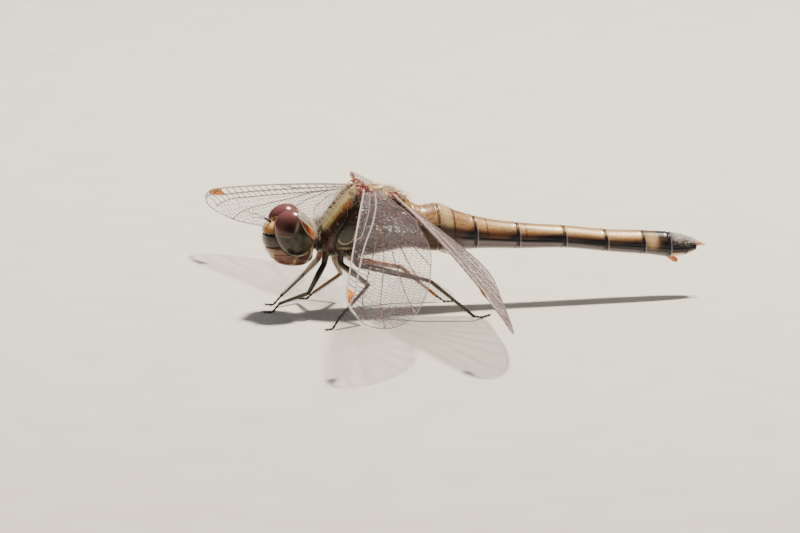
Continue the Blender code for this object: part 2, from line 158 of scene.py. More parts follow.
# Length, hinge, and chords at shares of the span.
WINGS = {
    "forewing": (29.0, (-0.35, 1.30, 10.55), (
        (0.0, 1.7), (0.05, 2.1), (0.10, 2.9), (0.20, 4.6), (0.30, 5.7), (0.40, 6.4), (0.50, 6.7),
        (0.60, 6.8), (0.70, 6.6), (0.80, 6.1), (0.88, 5.2), (0.94, 4.2), (0.98, 3.1), (1.0, 2.2),
    )),
    "hindwing": (27.8, (2.10, 1.40, 10.10), (
        (0.0, 2.2), (0.03, 3.4), (0.08, 6.4), (0.13, 8.8), (0.20, 9.5), (0.30, 9.3), (0.42, 8.7),
        (0.55, 8.1), (0.65, 7.5), (0.75, 6.7), (0.85, 5.6), (0.92, 4.5), (0.97, 3.3), (1.0, 2.2),
    )),
}
# Degrees of sweep, droop, pitch at the root, pitch at the tip, and bend along the span.
WING_POSES = {
    "forewing_left": (-16.0, 9.0, 0.0, 36.0, 4.5),
    "forewing_right": (-18.5, 9.8, 6.0, 48.0, 4.5),
    "hindwing_left": (4.5, 9.0, 35.0, 56.0, 7.0),
    "hindwing_right": (5.4, 6.3, 36.0, 60.0, 0.0),
}
# The long veins: each point's share of the span and distance behind the leading edge.  A
# vein that ends past the chord runs out at the hind margin.  The last value is its
# radius, in shares of an ordinary vein's.
VEINS = {
    "forewing": (
        ("subcosta", ((0.0, 0.45), (0.08, 0.62), (0.30, 0.62), (0.42, 0.40), (0.47, 0.02)), 0.9),
        ("radius", ((0.0, 0.85), (0.08, 1.12), (0.30, 1.20), (0.47, 0.90), (0.70, 0.78),
                    (0.86, 0.78), (0.95, 0.66), (1.0, 1.4)), 1.4),
        ("radial_branch", ((0.12, 1.35), (0.30, 1.85), (0.50, 1.75), (0.70, 1.60), (0.88, 1.60),
                           (0.97, 2.1)), 0.9),
        ("second_branch", ((0.30, 1.95), (0.50, 2.60), (0.70, 2.95), (0.85, 3.25),
                           (0.97, 4.1)), 0.8),
        ("third_branch", ((0.26, 2.00), (0.42, 3.00), (0.58, 4.05), (0.72, 5.35), (0.80, 6.6)), 0.8),
        ("media", ((0.12, 1.80), (0.26, 2.75), (0.42, 3.95), (0.55, 5.40), (0.64, 7.2)), 0.9),
        ("hind_media", ((0.12, 1.95), (0.24, 3.20), (0.36, 4.45), (0.50, 7.0)), 0.8),
        ("cubitus", ((0.12, 2.15), (0.20, 3.40), (0.28, 4.60), (0.33, 6.2)), 0.8),
        ("anal", ((0.02, 1.20), (0.08, 1.90), (0.13, 2.70), (0.17, 4.3)), 0.8),
    ),
    "hindwing": (
        ("subcosta", ((0.0, 0.45), (0.08, 0.62), (0.28, 0.62), (0.38, 0.40), (0.42, 0.02)), 0.9),
        ("radius", ((0.0, 0.85), (0.08, 1.12), (0.30, 1.20), (0.43, 0.90), (0.70, 0.78),
                    (0.86, 0.78), (0.95, 0.66), (1.0, 1.4)), 1.4),
        ("radial_branch", ((0.10, 1.35), (0.28, 1.90), (0.50, 1.80), (0.70, 1.65), (0.88, 1.60),
                           (0.97, 2.1)), 0.9),
        ("second_branch", ((0.26, 1.95), (0.45, 2.75), (0.66, 3.20), (0.85, 3.40),
                           (0.97, 4.2)), 0.8),
        ("third_branch", ((0.22, 2.00), (0.38, 3.30), (0.55, 4.70), (0.70, 6.10), (0.78, 7.4)), 0.8),
        ("media", ((0.10, 1.80), (0.22, 3.00), (0.38, 4.70), (0.52, 6.60), (0.62, 8.6)), 0.9),
        ("hind_media", ((0.10, 1.95), (0.20, 3.60), (0.32, 5.60), (0.46, 9.2)), 0.8),
        ("cubitus", ((0.10, 2.10), (0.16, 3.60), (0.25, 6.10), (0.36, 9.6)), 0.8),
        ("anal_loop", ((0.08, 2.10), (0.11, 3.80), (0.16, 6.40), (0.20, 7.80), (0.25, 8.2),
                       (0.30, 7.6)), 0.8),
        ("anal", ((0.03, 1.60), (0.06, 3.20), (0.09, 5.20), (0.12, 9.0)), 0.8),
    ),
}
LEADING_VEINS = {"radius": 0.8, "subcosta": 0.5}    # how far these share the edge's colour
STIGMA = (0.845, 0.925)         # shares of the span between which the stigma lies

# Knuckles at the wing roots: middle, number and spread of each cluster.
KNUCKLES = (
    ((-0.32, 1.26, 10.58), 44, (0.72, 0.36, 0.46)), ((2.05, 1.28, 10.14), 20, (0.75, 0.30, 0.22)),
)
# The larger cream plates before the forewing and between the wings: middle, radii, lean.
ROOT_PLATES = (
    ((-1.18, 0.95, 10.72), (0.40, 0.34, 0.26), 30.0), ((-1.05, 1.40, 10.52), (0.26, 0.22, 0.24), 10.0),
    ((1.22, 1.78, 10.08), (0.38, 0.20, 0.34), 20.0), ((0.95, 0.95, 10.72), (0.45, 0.40, 0.20), 10.0),
    ((3.10, 1.05, 9.95), (0.34, 0.26, 0.20), 20.0),
)

# ------------------------------------------------------------------ the legs
# Root, trochanter, knee, ankle, heel and toe of each leg.
LEG_PATHS = {
    "foreleg_left": ((-3.55, -0.85, 5.60), (-3.85, -1.20, 4.35), (-5.67, -3.30, 2.30),
                     (-7.56, -0.30, 0.90), (-8.15, -0.05, 0.20), (-8.80, 0.20, 0.20)),
    "foreleg_right": ((-3.55, 0.85, 5.60), (-3.85, 1.25, 4.35), (-4.50, 4.30, 2.42),
                      (-6.78, 2.65, 1.00), (-7.45, 3.05, 0.20), (-8.05, 3.42, 0.20)),
    "middle_leg_left": ((-2.50, -0.90, 5.50), (-2.45, -1.55, 4.30), (-0.96, -5.75, 3.30),
                        (-4.00, -7.80, 0.90), (-4.60, -8.05, 0.20), (-5.20, -8.30, 0.20)),
    "middle_leg_right": ((-2.50, 0.90, 5.50), (-2.40, 1.40, 4.30), (-1.28, 3.80, 2.45),
                         (-3.45, 4.85, 0.70), (-4.05, 5.05, 0.20), (-4.70, 5.25, 0.20)),
    "hindleg_left": ((-1.40, -0.95, 5.50), (-1.00, -1.55, 4.25), (4.50, -5.40, 3.30),
                     (7.93, -7.05, 0.42), (8.80, -6.20, 0.20), (9.75, -5.30, 0.20)),
    "hindleg_right": ((-1.40, 0.95, 5.50), (-1.00, 1.40, 4.20), (3.80, 2.60, 3.00),
                      (6.70, 1.45, 0.55), (7.30, 1.25, 0.20), (8.05, 1.10, 0.20)),
}
TARSUS_RADIUS = 0.11
# Radii along each part of a leg.
FEMUR_RADII = (0.36, 0.26, 0.27, 0.22, 0.17)
TIBIA_RADII = (0.17, 0.15, 0.14, 0.13, 0.12)
TARSUS_RADII = (0.115, 0.085, 0.095, 0.08, 0.085)
# How pale the stripe of each leg is, how much of its thigh is orange brown beyond the
# hip, and the same of its shin.
LEG_LOOKS = {
    "foreleg_left": (0.16, 0.0, 0.0), "foreleg_right": (0.9, 0.25, 0.0),
    "middle_leg_left": (0.20, 0.0, 0.0), "middle_leg_right": (0.6, 0.6, 0.45),
    "hindleg_left": (0.14, 0.0, 0.0), "hindleg_right": (0.5, 0.8, 0.9),
}

HAIR_ABOVE = 0.3                # how far hairs may stand above the highest solid

# ----------------------------------------------------------------- the stage
# Lamps: place in metres, size, watts, colour, and whether they show in gloss.
LIGHTS = (
    ("key_light", (0.11, 0.11, 0.42), 0.05, 7.0, "#FFF3E0", True),
    ("fill_light", (-0.25, -0.35, 0.22), 0.60, 0.45, "#E8F0FF", False),
    ("back_light", (0.10, 0.32, 0.22), 0.25, 0.4, "#FFFFFF", False),
)
AIR_COLOUR, AIR_STRENGTH = "#DDE2E8", 0.17
# Camera: its turn about the upright and its height angle in degrees, its distance, and
# where the middle of its view lies along its own axes.
CAMERA_TURN, CAMERA_RISE, CAMERA_FAR = -13.0, 11.1, 450.0
LOOK_RIGHT, LOOK_UP = 3.017, 3.664
CAMERA_LENS, SENSOR_WIDTH = 234.9, 36.0



# ---------------------------------------------------------------- small tools

def linear(colour):
    """An sRGB hex value such as #5A3A24 as linear red, green, blue and alpha.

    A colour that is linear already is passed through.
    """
    if not isinstance(colour, str):
        return colour
    parts = [int(colour[i:i + 2], 16) / 255 for i in (1, 3, 5)]
    return tuple(c / 12.92 if c <= 0.04045 else ((c + 0.055) / 1.055) ** 2.4 for c in parts) + (1.0,)


def smooth_curve(knots, values, at):
    """Values between knots on a cubic whose slopes are the knots' mean slopes."""
    knots, values = np.asarray(knots, float), np.asarray(values, float)
    at = np.clip(np.atleast_1d(np.asarray(at, float)), knots[0], knots[-1])
    slopes = np.gradient(values, knots)
    i = np.clip(np.searchsorted(knots, at) - 1, 0, len(knots) - 2)
    width = knots[i + 1] - knots[i]
    t = (at - knots[i]) / width
    start = (1 + 2 * t) * (1 - t) ** 2 * values[i] + t * (1 - t) ** 2 * width * slopes[i]
    end = t ** 2 * (3 - 2 * t) * values[i + 1] + t ** 2 * (t - 1) * width * slopes[i + 1]
    return start + end


def smooth_path(knots, corners, at):
    """Points between corners, each coordinate on its own smooth curve."""
    corners = np.asarray(corners, float)
    return np.stack([smooth_curve(knots, corners[:, i], at) for i in range(3)], -1)


def unit(vectors):
    """Each row at length one."""
    return vectors / np.maximum(np.linalg.norm(vectors, axis=-1, keepdims=True), 1e-12)


def bump(distance, width):
    """One at no distance, falling off as a bell of that width."""
    return np.exp(-(distance / width) ** 2)


def oval(across, rise, wide, tall):
    """One at the middle of an oval, falling off as a bell of those two half widths."""
    return bump(np.hypot(across / wide, rise / tall), 1.0)


def ramp(value, low, high):
    """Zero below low, one above high, with a smooth step between."""
    t = np.clip((value - low) / (high - low), 0, 1)
    return t * t * (3 - 2 * t)


def leaned(points, degrees):
    """Points turned about the axis across the body, their tops forwards."""
    angle = math.radians(degrees)
    x = points[..., 0] * math.cos(angle) - points[..., 2] * math.sin(angle)
    z = points[..., 0] * math.sin(angle) + points[..., 2] * math.cos(angle)
    return np.stack([x, points[..., 1], z], -1)


def spokes(side, over, count, flat=1.0):
    """Directions of a ring's points: side times the angle's cosine and over times its sine."""
    angle = 2 * math.pi * np.arange(count) / count
    return (np.cos(angle)[None, :, None] * side[:, None] * flat
            + np.sin(angle)[None, :, None] * over[:, None])


def tube_faces(rows, columns):
    """Quads of a rows by columns lattice whose last column meets its first."""
    i, j = np.meshgrid(np.arange(rows - 1), np.arange(columns), indexing="ij")
    k = (j + 1) % columns
    near, far = i * columns, (i + 1) * columns
    return np.stack([near + j, near + k, far + k, far + j], -1).reshape(-1, 4)


def closed_tube(rings):
    """Points and faces of a tube through rings, each end closed by a fan to its middle.

    The two middles are the last two points.
    """
    rows, columns = rings.shape[:2]
    points = np.vstack([rings.reshape(-1, 3), rings[0].mean(0), rings[-1].mean(0)])
    j = np.arange(columns)
    k = (j + 1) % columns
    last = (rows - 1) * columns
    first_pole, last_pole = np.full(columns, rows * columns), np.full(columns, rows * columns + 1)
    fans = np.vstack([np.stack([first_pole, k, j], -1), np.stack([last_pole, last + j, last + k], -1)])
    return points, [tube_faces(rows, columns), fans]


def closed_sheet(middle, lift, half):
    """A closed sheet from half below to half above a middle surface, along its lift."""
    return closed_tube(np.concatenate([middle + lift * half, (middle - lift * half)[:, ::-1]], axis=1))


def with_poles(fields):
    """Fields of a lattice as one number for each point of its closed tube, zero at the poles."""
    return {key: np.append(value.ravel(), [0, 0]) for key, value in fields.items()}


def both_faces(fields):
    """Fields of a sheet's upper face, continued backwards over its lower face."""
    return {key: np.concatenate([value, value[:, ::-1]], axis=1) for key, value in fields.items()}


def joined(parts):
    """Several (points, faces) pairs as one, the faces renumbered."""
    points, faces, count = [], [], 0
    for own_points, own_faces in parts:
        points.append(own_points)
        faces.extend(face + count for face in own_faces)
        count += len(own_points)
    return np.vstack(points), faces


def mirrored(part):
    """The part reflected in the midline plane, its faces turned to keep facing out."""
    points, faces = part
    return points * MIRROR, [face[:, ::-1] for face in faces]


def facing_out(points, faces):
    """The faces, turned round if the volume they enclose comes out negative."""
    volume = 0.0
    for face in faces:
        for i in range(1, face.shape[1] - 1):
            a, b, c = points[face[:, 0]], points[face[:, i]], points[face[:, i + 1]]
            volume += np.einsum("ij,ij->i", a, np.cross(b, c)).sum()
    return faces if volume >= 0 else [face[:, ::-1] for face in faces]


def add_piece(name, part, material, nodes=(), fields=None, patch=None):
    """An object from points in millimetres and a list of face arrays.

    nodes are the solids that it replaces, fields are numbers per point kept as
    attributes, and patch is a place per point on the map named OFBake.
    """
    points, faces = part
    faces = facing_out(points, faces)
    mesh = bpy.data.meshes.new(name)
    corners = np.concatenate([face.ravel() for face in faces]).astype(np.int32)
    sizes = np.concatenate([np.full(len(face), face.shape[1]) for face in faces]).astype(np.int32)
    mesh.vertices.add(len(points))
    mesh.vertices.foreach_set("co", (points * MM + ORIGIN).astype(np.float32).ravel())
    mesh.loops.add(len(corners))
    mesh.loops.foreach_set("vertex_index", corners)
    mesh.polygons.add(len(sizes))
    mesh.polygons.foreach_set("loop_start", (np.cumsum(sizes) - sizes).astype(np.int32))
    mesh.polygons.foreach_set("use_smooth", np.ones(len(sizes), bool))
    for key, values in (fields or {}).items():
        layer = mesh.attributes.new(key, "FLOAT", "POINT")
        layer.data.foreach_set("value", np.asarray(values, np.float32).ravel())
    if patch is not None:
        layer = mesh.uv_layers.new(name="OFBake")
        layer.data.foreach_set("uv", patch[corners].astype(np.float32).ravel())
    mesh.materials.append(material)
    mesh.update(calc_edges=True)
    mesh.validate()
    piece = bpy.data.objects.new(name, mesh)
    bpy.context.scene.collection.objects.link(piece)
    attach(piece, "root")
    if nodes:
        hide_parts(*nodes)


# --------------------------------------------------------------------- shapes

def body_surface(stations, at, sides, waist, squareness):
    """Rings of an upright oval at each x, and each point's share of its ring's height.

    Each ring is widest at the waist's share of its height; the upper and lower
    halves are superellipses, |y/w|^n + |z/h|^n = 1, of the two exponents.
    """
    table = np.array(stations)
    top, bottom, half = (smooth_curve(table[:, 0], table[:, i], at) for i in (1, 2, 3))
    angle = 2 * math.pi * (np.arange(sides) + 0.5) / sides
    across, rise = np.cos(angle), np.sin(angle)
    power = np.where(rise > 0, 2.0 / squareness[0], 2.0 / squareness[1])
    unit_y = np.sign(across) * np.abs(across) ** power
    unit_z = np.sign(rise) * np.abs(rise) ** power
    middle = bottom + waist * (top - bottom)
    reach = np.where(rise > 0, (top - middle)[:, None], (middle - bottom)[:, None])
    x = np.repeat(np.asarray(at, float)[:, None], sides, axis=1)
    points = np.stack([x, half[:, None] * unit_y, middle[:, None] + reach * unit_z], -1)
    share = (points[..., 2] - bottom[:, None]) / (top - bottom)[:, None]
    return points, share


def ring_normals(rings):
    """Outward directions of a ring lattice, from the cross of its two differences."""
    along = np.gradient(rings, axis=0)
    around = np.roll(rings, -1, axis=1) - np.roll(rings, 1, axis=1)
    normal = unit(np.cross(around, along))
    outward = rings - rings.mean(axis=1, keepdims=True)
    return normal * np.sign((normal * outward).sum(-1).mean())


def raised(rings, height):
    """The rings moved outwards by a height at each point."""
    return rings + ring_normals(rings) * height[..., None]


def superellipsoid(directions, radii, squareness):
    """Where directions meet |x/a|^n + |y/b|^n + |z/c|^n = 1: each direction d, in shares
    of the radii, is made (sum |d|^n)^(-1/n) as long."""
    size = (np.abs(directions) ** squareness).sum(-1, keepdims=True) ** (-1.0 / squareness)
    return directions * size * np.array(radii)


def globe(centre, radii, squareness, lean, rows, columns):
    """A closed superellipsoid round a centre, its top tipped forwards by lean degrees.

    Its directions are (sin p cos t, sin p sin t, cos p), over the polar angle p and the
    turn t about the upright.
    """
    polar = math.pi * (np.arange(rows)[:, None] + 0.5) / rows
    turn = 2 * math.pi * np.arange(columns)[None, :] / columns
    directions = np.stack([np.sin(polar) * np.cos(turn), np.sin(polar) * np.sin(turn),
                           np.cos(polar) * np.ones_like(turn)], -1)
    return closed_tube(leaned(superellipsoid(directions, radii, squareness), lean) + np.array(centre))


def limb_rings(path, stations, radii, sides, flat=1.0):
    """Round rings carried along a path: stations are shares of its length.

    The path's corners are eased by averaging it over a short window, and each
    ring lies across the path's direction there.  Also returns the rings' middles
    and their directions along, sideways and over.
    """
    path = np.asarray(path, float)
    walked = np.concatenate([[0], np.cumsum(np.linalg.norm(np.diff(path, axis=0), axis=1))])
    total = walked[-1]
    window = np.linspace(-0.5, 0.5, 7) * min(0.30, 0.12 * total)
    where = np.clip(np.asarray(stations)[:, None] * total + window, 0, total)
    middle = np.stack([np.interp(where, walked, path[:, i]).mean(1) for i in range(3)], -1)
    middle[0], middle[-1] = path[0], path[-1]
    along = unit(np.gradient(middle, axis=0))
    side = unit(np.cross(along, np.array([0.0, 0.0, 1.0]) + 1e-3))
    over = np.cross(side, along)
    rings = middle[:, None] + np.asarray(radii)[:, None, None] * spokes(side, over, sides, flat)
    return rings, middle, along, side, over


def rods(starts, ends, thickness, normals):
    """Square rods from starts to ends, all at once: eight points and six quads each."""
    along = unit(ends - starts)
    across = unit(np.cross(along, normals))
    over = np.cross(across, along)
    corners = [across * thickness, over * thickness, -across * thickness, -over * thickness]
    points = np.stack([starts + c for c in corners] + [ends + c for c in corners], 1)
    quads = np.array([[0, 1, 5, 4], [1, 2, 6, 5], [2, 3, 7, 6], [3, 0, 4, 7], [3, 2, 1, 0], [4, 5, 6, 7]])
    faces = (np.arange(len(starts)) * 8)[:, None, None] + quads
    return points.reshape(-1, 3), [faces.reshape(-1, 4)]


def pipe(line, radius, up):
    """A closed six-sided tube of that radius, or radii, along a line of points."""
    along = unit(np.gradient(line, axis=0))
    side = unit(np.cross(along, up))
    over = np.cross(side, along)
    radius = np.broadcast_to(radius, (len(line),))[:, None, None]
    return closed_tube(line[:, None] + radius * spokes(side, over, 6))


def bristles(roots, directions, lengths, radius, droop=0.0, steps=3):
    """Three-sided tapering hairs, bent downwards.

    The middle of a hair at share t is root + direction * length * t, lowered by
    droop * length * t squared, and its radius falls off to a twelfth as 1 - 0.92 t.
    """
    t = np.linspace(0, 1, steps + 1)[None, :, None]
    lengths = np.asarray(lengths)[:, None, None]
    middle = roots[:, None] + directions[:, None] * lengths * t
    middle = middle - np.array([0.0, 0.0, 1.0]) * droop * lengths * t ** 2
    along = unit(directions)
    helper = np.where(np.abs(along[:, 2:3]) < 0.9, [[0.0, 0.0, 1.0]], [[1.0, 0.0, 0.0]])
    side = unit(np.cross(along, helper))
    wide = (radius * (1 - 0.92 * t))[:, :, None]
    rings = middle[:, :, None] + spokes(side, np.cross(side, along), 3)[:, None] * wide
    per_hair = (steps + 1) * 3
    shell = tube_faces(steps + 1, 3)
    caps = np.array([[2, 1, 0], [per_hair - 3, per_hair - 2, per_hair - 1]])
    first = (np.arange(len(roots)) * per_hair)[:, None, None]
    return rings.reshape(-1, 3), [(first + shell).reshape(-1, 4), (first + caps).reshape(-1, 3)]


def patch_map(places):
    """A patch 0.003 wide on the skin's unwrap for each hair's twelve points, at its root."""
    grid = np.stack(np.meshgrid([0, 1, 2], [0, 1, 2, 3]), -1).reshape(-1, 2)
    return (places[:, None] + (grid / 3 - 0.5) * 0.003).reshape(-1, 2)


# ------------------------------------------------------------------ materials

def node(tree, kind, links=None, **settings):
    """A node with its settings, and its sockets filled with values or links."""
    made = tree.nodes.new(kind)
    for name, value in settings.items():
        setattr(made, name, value)
    for name, value in (links or {}).items():
        if isinstance(value, bpy.types.NodeSocket):
            tree.links.new(value, made.inputs[name])
        else:
            made.inputs[name].default_value = value
    return made


def new_material(name, **shader):
    """A node material with its Principled shader's sockets set; returns both and the tree."""
    material = bpy.data.materials.new(name)
    material.use_nodes = True
    tree = material.node_tree
    principled = tree.nodes["Principled BSDF"]
    for socket, value in shader.items():
        principled.inputs[socket.replace("_", " ")].default_value = value
    return material, tree, principled


def grain(tree, millimetres, detail=3.0, stretch=(1.0, 1.0, 1.0)):
    """Noise of about that many millimetres a cell, read from the object's own coordinates."""
    place = node(tree, "ShaderNodeTexCoord").outputs["Object"]
    drawn = node(tree, "ShaderNodeMapping", {"Vector": place, "Scale": stretch}).outputs["Vector"]
    return node(tree, "ShaderNodeTexNoise", {
        "Vector": drawn, "Scale": 1.0 / (millimetres * MM), "Detail": detail,
    }).outputs["Fac"]


def stripe(tree, value, centre, half, soft):
    """One within half of centre, fading to zero over soft."""
    away = node(tree, "ShaderNodeMath", {0: value, 1: centre}, operation="SUBTRACT")
    far = node(tree, "ShaderNodeMath", {0: away.outputs[0]}, operation="ABSOLUTE")
    return node(tree, "ShaderNodeMapRange", {
        "Value": far.outputs[0], "From Min": half + soft, "From Max": half,
    }, interpolation_type="SMOOTHSTEP").outputs[0]


def product(tree, *masks):
    """The masks multiplied together; a name stands for the number that the points keep."""
    masks = [node(tree, "ShaderNodeAttribute", attribute_name=mask).outputs["Fac"]
             if isinstance(mask, str) else mask for mask in masks]
    total = masks[0]
    for mask in masks[1:]:
        total = node(tree, "ShaderNodeMath", {0: total, 1: mask}, operation="MULTIPLY").outputs[0]
    return total


def finish(tree, shader, base, layers, height=None, millimetres=0.0):
    """Wire the base colour with each layer laid over it in turn: a colour and its masks.

    Where a height is given, a relief of that many millimetres is wired too.
    """
    base = linear(base)
    for colour, *masks in layers:
        base = node(tree, "ShaderNodeMix", {
            "Factor": product(tree, *masks), 6: base, 7: linear(colour),
        }, data_type="RGBA").outputs[2]
    tree.links.new(base, shader.inputs["Base Color"])
    if height is not None:
        rough = node(tree, "ShaderNodeBump", {
            "Height": height, "Distance": millimetres * MM, "Strength": 1.0})
        tree.links.new(rough.outputs["Normal"], shader.inputs["Normal"])


def thorax_material(tints):
    # Sclerotised cuticle, satin with a waxy gloss: golden olive above, brown to nearly
    # black on the sides, with olive panels in cream borders.  The golden band along the crest
    # is partly a painted highlight, with painted highlights in cream on the crest and above
    # the hips, and the darkening down the sides is partly painted shade.
    material, tree, shader = new_material("cuticle_satin_thorax", Roughness=0.32, IOR=1.45,
                                          Coat_Weight=0.08, Coat_Roughness=0.2)
    cloud, fine = grain(tree, 0.7, 2.0), grain(tree, 0.14)
    finish(tree, shader, tints.thorax_side, [
        (tints.thorax_back, "back"),
        ("#8C4620", "warm"),
        (tints.thorax_low, "low"),
        ("#160E09", "shade"),
        ("#3B2012", stripe(tree, cloud, 0.34, 0.02, 0.16), 0.40),
        ("#A87A48", stripe(tree, fine, 0.68, 0.02, 0.14), 0.16),
        (tints.panel, "panel"),
        ("#2C2E20", "panel", stripe(tree, cloud, 0.60, 0.05, 0.16), 0.75),
        (tints.pale, "pale"),
        ("#0C0908", "suture"),
    ], fine, 0.018)
    return material


def abdomen_material(tints):
    # Thin satin cuticle: golden tan above with brown streaks that run lengthwise, dark
    # dashes and joints, a dark line along the side and grey-mauve plates below it.  A cream
    # band along the upper side is a painted highlight, the cream flecks on the back are
    # painted glints, and the darker lower sides are partly painted shade.
    material, tree, shader = new_material("cuticle_satin_abdomen", Roughness=0.30, IOR=1.42,
                                          Coat_Weight=0.06, Coat_Roughness=0.15)
    along = grain(tree, 0.50, 3.0, (0.28, 1.0, 1.0))
    fine = grain(tree, 0.13)
    finish(tree, shader, tints.abdomen_side, [
        ("#3E2A1A", "shade"),
        (tints.abdomen_back, "back"),
        ("#7C4E34", "back", stripe(tree, along, 0.60, 0.03, 0.10), 0.85),
        ("#6E4630", "brown"),
        ("#4E3424", stripe(tree, along, 0.36, 0.03, 0.12), 0.65),
        # cream flecks kept to the back: painted glints where the light falls
        ("#E2C692", "back", stripe(tree, fine, 0.66, 0.02, 0.10), 0.30),
        ("#6C3C22", "red"),
        (tints.abdomen_low, "low"),
        (tints.pale, "pale"),
        # painted highlight along the abdomen's upper side
        ("#FAD28C", "shine"),
        ("#15121A", "dark"),
        ("#8C878A", "grey"),
        ("#DEB884", "spot"),
        ("#141018", "line"),
        (tints.ring, "ring"),
    ], fine, 0.014)
    return material


def face_material(name, colour, shade):
    # Smooth waxy facial cuticle with a faint pitted grain.
    material, tree, shader = new_material(name, Roughness=0.28, IOR=1.46, Coat_Weight=0.12,
                                          Coat_Roughness=0.1)
    finish(tree, shader, colour, [
        (shade, stripe(tree, grain(tree, 0.45), 0.36, 0.08, 0.10), 0.5),
        ("#12100F", "dark"),
        ("#D9C79A", "pale"),
    ], grain(tree, 0.08), 0.012)
    return material


def eye_material(tints):
    # Glassy corneal lenses over pigment: maroon above, dark brown below, with nearly
    # black spots, and a painted pink sheen over the top.  Real facets are 0.03 mm across; they are drawn
    # at 0.08 mm to show.
    material, tree, shader = new_material(
        "cornea_glossy_facets", Roughness=0.20, IOR=1.38, Coat_Weight=0.1, Coat_Roughness=0.05)
    cloud = stripe(tree, grain(tree, 0.5, 3.0, (1.3, 1.0, 0.6)), 0.40, 0.06, 0.12)
    place = node(tree, "ShaderNodeTexCoord").outputs["Object"]
    cells = node(tree, "ShaderNodeTexVoronoi", {"Vector": place, "Scale": 1 / (0.08 * MM)})
    finish(tree, shader, tints.eye_low, [
        ("#221B13", cloud, 0.5),
        ("#443C1C", "rim"),
        (tints.eye_top, "top"),
        # painted sheen over the top of the eye
        ("#70484A", "sheen"),
        ("#180708", "deep"),
        ("#7B8070", "streak"),
        ("#0D0A08", "pupil"),
        ("#6E6254", "band"),
        ("#2E2118", "cheek"),
        ("#C9B78C", "edge"),
    ], cells.outputs["Distance"], 0.003)
    return material


def temple_material():
    # Waxy cuticle behind the eye: dark red turning orange, edged with cream.
    material, tree, shader = new_material("cuticle_waxy_orange", Roughness=0.28, IOR=1.55,
                                          Coat_Weight=0.3, Coat_Roughness=0.1)
    finish(tree, shader, "#4E140A", [
        ("#CE6E2A", "warm"),
        ("#8A3A16", stripe(tree, grain(tree, 0.25), 0.36, 0.08, 0.08), 0.5),
        ("#8E8B84", "grey"),
        ("#E2CFA0", "pale"),
        ("#12100F", "dark"),
    ], grain(tree, 0.08), 0.012)
    return material


def leg_material(tints):
    # Hard black cuticle, satin, with a cream or tan stripe along the outer side.
    material, tree, shader = new_material("cuticle_satin_black", Roughness=0.30, IOR=1.55)
    finish(tree, shader, tints.leg, [
        ("#2E2420", stripe(tree, grain(tree, 0.18), 0.66, 0.10, 0.05)),
        (tints.leg_warm, "warm"),
        (tints.leg_stripe, "stripe"),
    ], grain(tree, 0.06), 0.010)
    return material


def membrane_material(tints):
    # Wing film of clear chitin, nearly colourless.  Every cell lies at a slightly
    # different angle and is about 0.6 mm wide: a bump whose height is the place in the
    # cell times a random slope tilts it, which makes the film glitter.  Painted glints:
    # white dots 0.2 mm apart, kept to patches of 2 mm, stand in for where the film
    # catches the light.
    material, tree, shader = new_material(
        "chitin_film_clear", Roughness=0.10, IOR=1.56, Thin_Film_Thickness=380.0, Thin_Film_IOR=1.4)
    place = node(tree, "ShaderNodeTexCoord").outputs["Object"]
    cells = node(tree, "ShaderNodeTexVoronoi", {"Vector": place, "Scale": 1 / (0.6 * MM)})
    off = node(tree, "ShaderNodeVectorMath", {0: place, 1: cells.outputs["Position"]},
               operation="SUBTRACT")
    tilt = node(tree, "ShaderNodeVectorMath", {0: cells.outputs["Color"], 1: (0.5, 0.5, 0.5)},
                operation="SUBTRACT")
    slope = node(tree, "ShaderNodeVectorMath", {0: off.outputs[0], 1: tilt.outputs[0]},
                 operation="DOT_PRODUCT")
    facet = node(tree, "ShaderNodeBump", {
        "Height": slope.outputs["Value"], "Distance": 0.35, "Strength": 1.0})
    tree.links.new(facet.outputs["Normal"], shader.inputs["Normal"])

    dots = node(tree, "ShaderNodeTexVoronoi", {"Vector": place, "Scale": 1 / (0.20 * MM)})
    pick = node(tree, "ShaderNodeSeparateColor", {"Color": dots.outputs["Color"]}).outputs["Green"]
    bright, dot, zone = (
        node(tree, "ShaderNodeMapRange", {"Value": value, "From Min": low, "From Max": high}).outputs[0]
        for value, low, high in ((pick, 0.62, 0.95), (dots.outputs["Distance"], 0.50, 0.25),
                                 (grain(tree, 2.2), 0.40, 0.56)))
    # painted glints: white dots that stand in for the film catching the light
    painted_glint = product(tree, bright, dot, zone, "glitter")
    finish(tree, shader, tints.film, [
        ("#9A8CA2", stripe(tree, grain(tree, 2.0), 0.42, 0.06, 0.10), 0.6),
        ("#FFFFFF", painted_glint),
        ("#B06428", "amber"),
    ])
    cover = tints.film_opacity
    for mask, more in ((painted_glint, 0.70), ("amber", 0.45), ("veil", 0.25)):
        cover = node(tree, "ShaderNodeMath", {0: product(tree, mask), 1: more, 2: cover},
                     operation="MULTIPLY_ADD").outputs[0]
    tree.links.new(cover, shader.inputs["Alpha"])
    return material


def vein_material(tints):
    # Tubular chitin veins, hard and satin: dark red brown, pinkish grey on the front edge.
    material, tree, shader = new_material("chitin_vein_brown", Roughness=0.25, IOR=1.56)
    finish(tree, shader, tints.vein, [
        ("#7A4A3A", stripe(tree, grain(tree, 1.2), 0.60, 0.06, 0.08), 0.6),
        (tints.vein_lead, "lead"),
    ])
    return material


def root_material(tints):
    # Hard knuckles of the wing's hinge: pink red, some of them cream.
    material, tree, shader = new_material("sclerite_waxy_pink", Roughness=0.28, IOR=1.55,
                                          Coat_Weight=0.3, Coat_Roughness=0.1)
    finish(tree, shader, "#B0504A", [
        ("#5A1C18", stripe(tree, grain(tree, 0.16), 0.38, 0.06, 0.06), 0.8),
        ("#E3A79A", stripe(tree, grain(tree, 0.12), 0.64, 0.05, 0.05), 0.8),
        (tints.pale, "pale"),
    ], grain(tree, 0.07), 0.02)
    return material


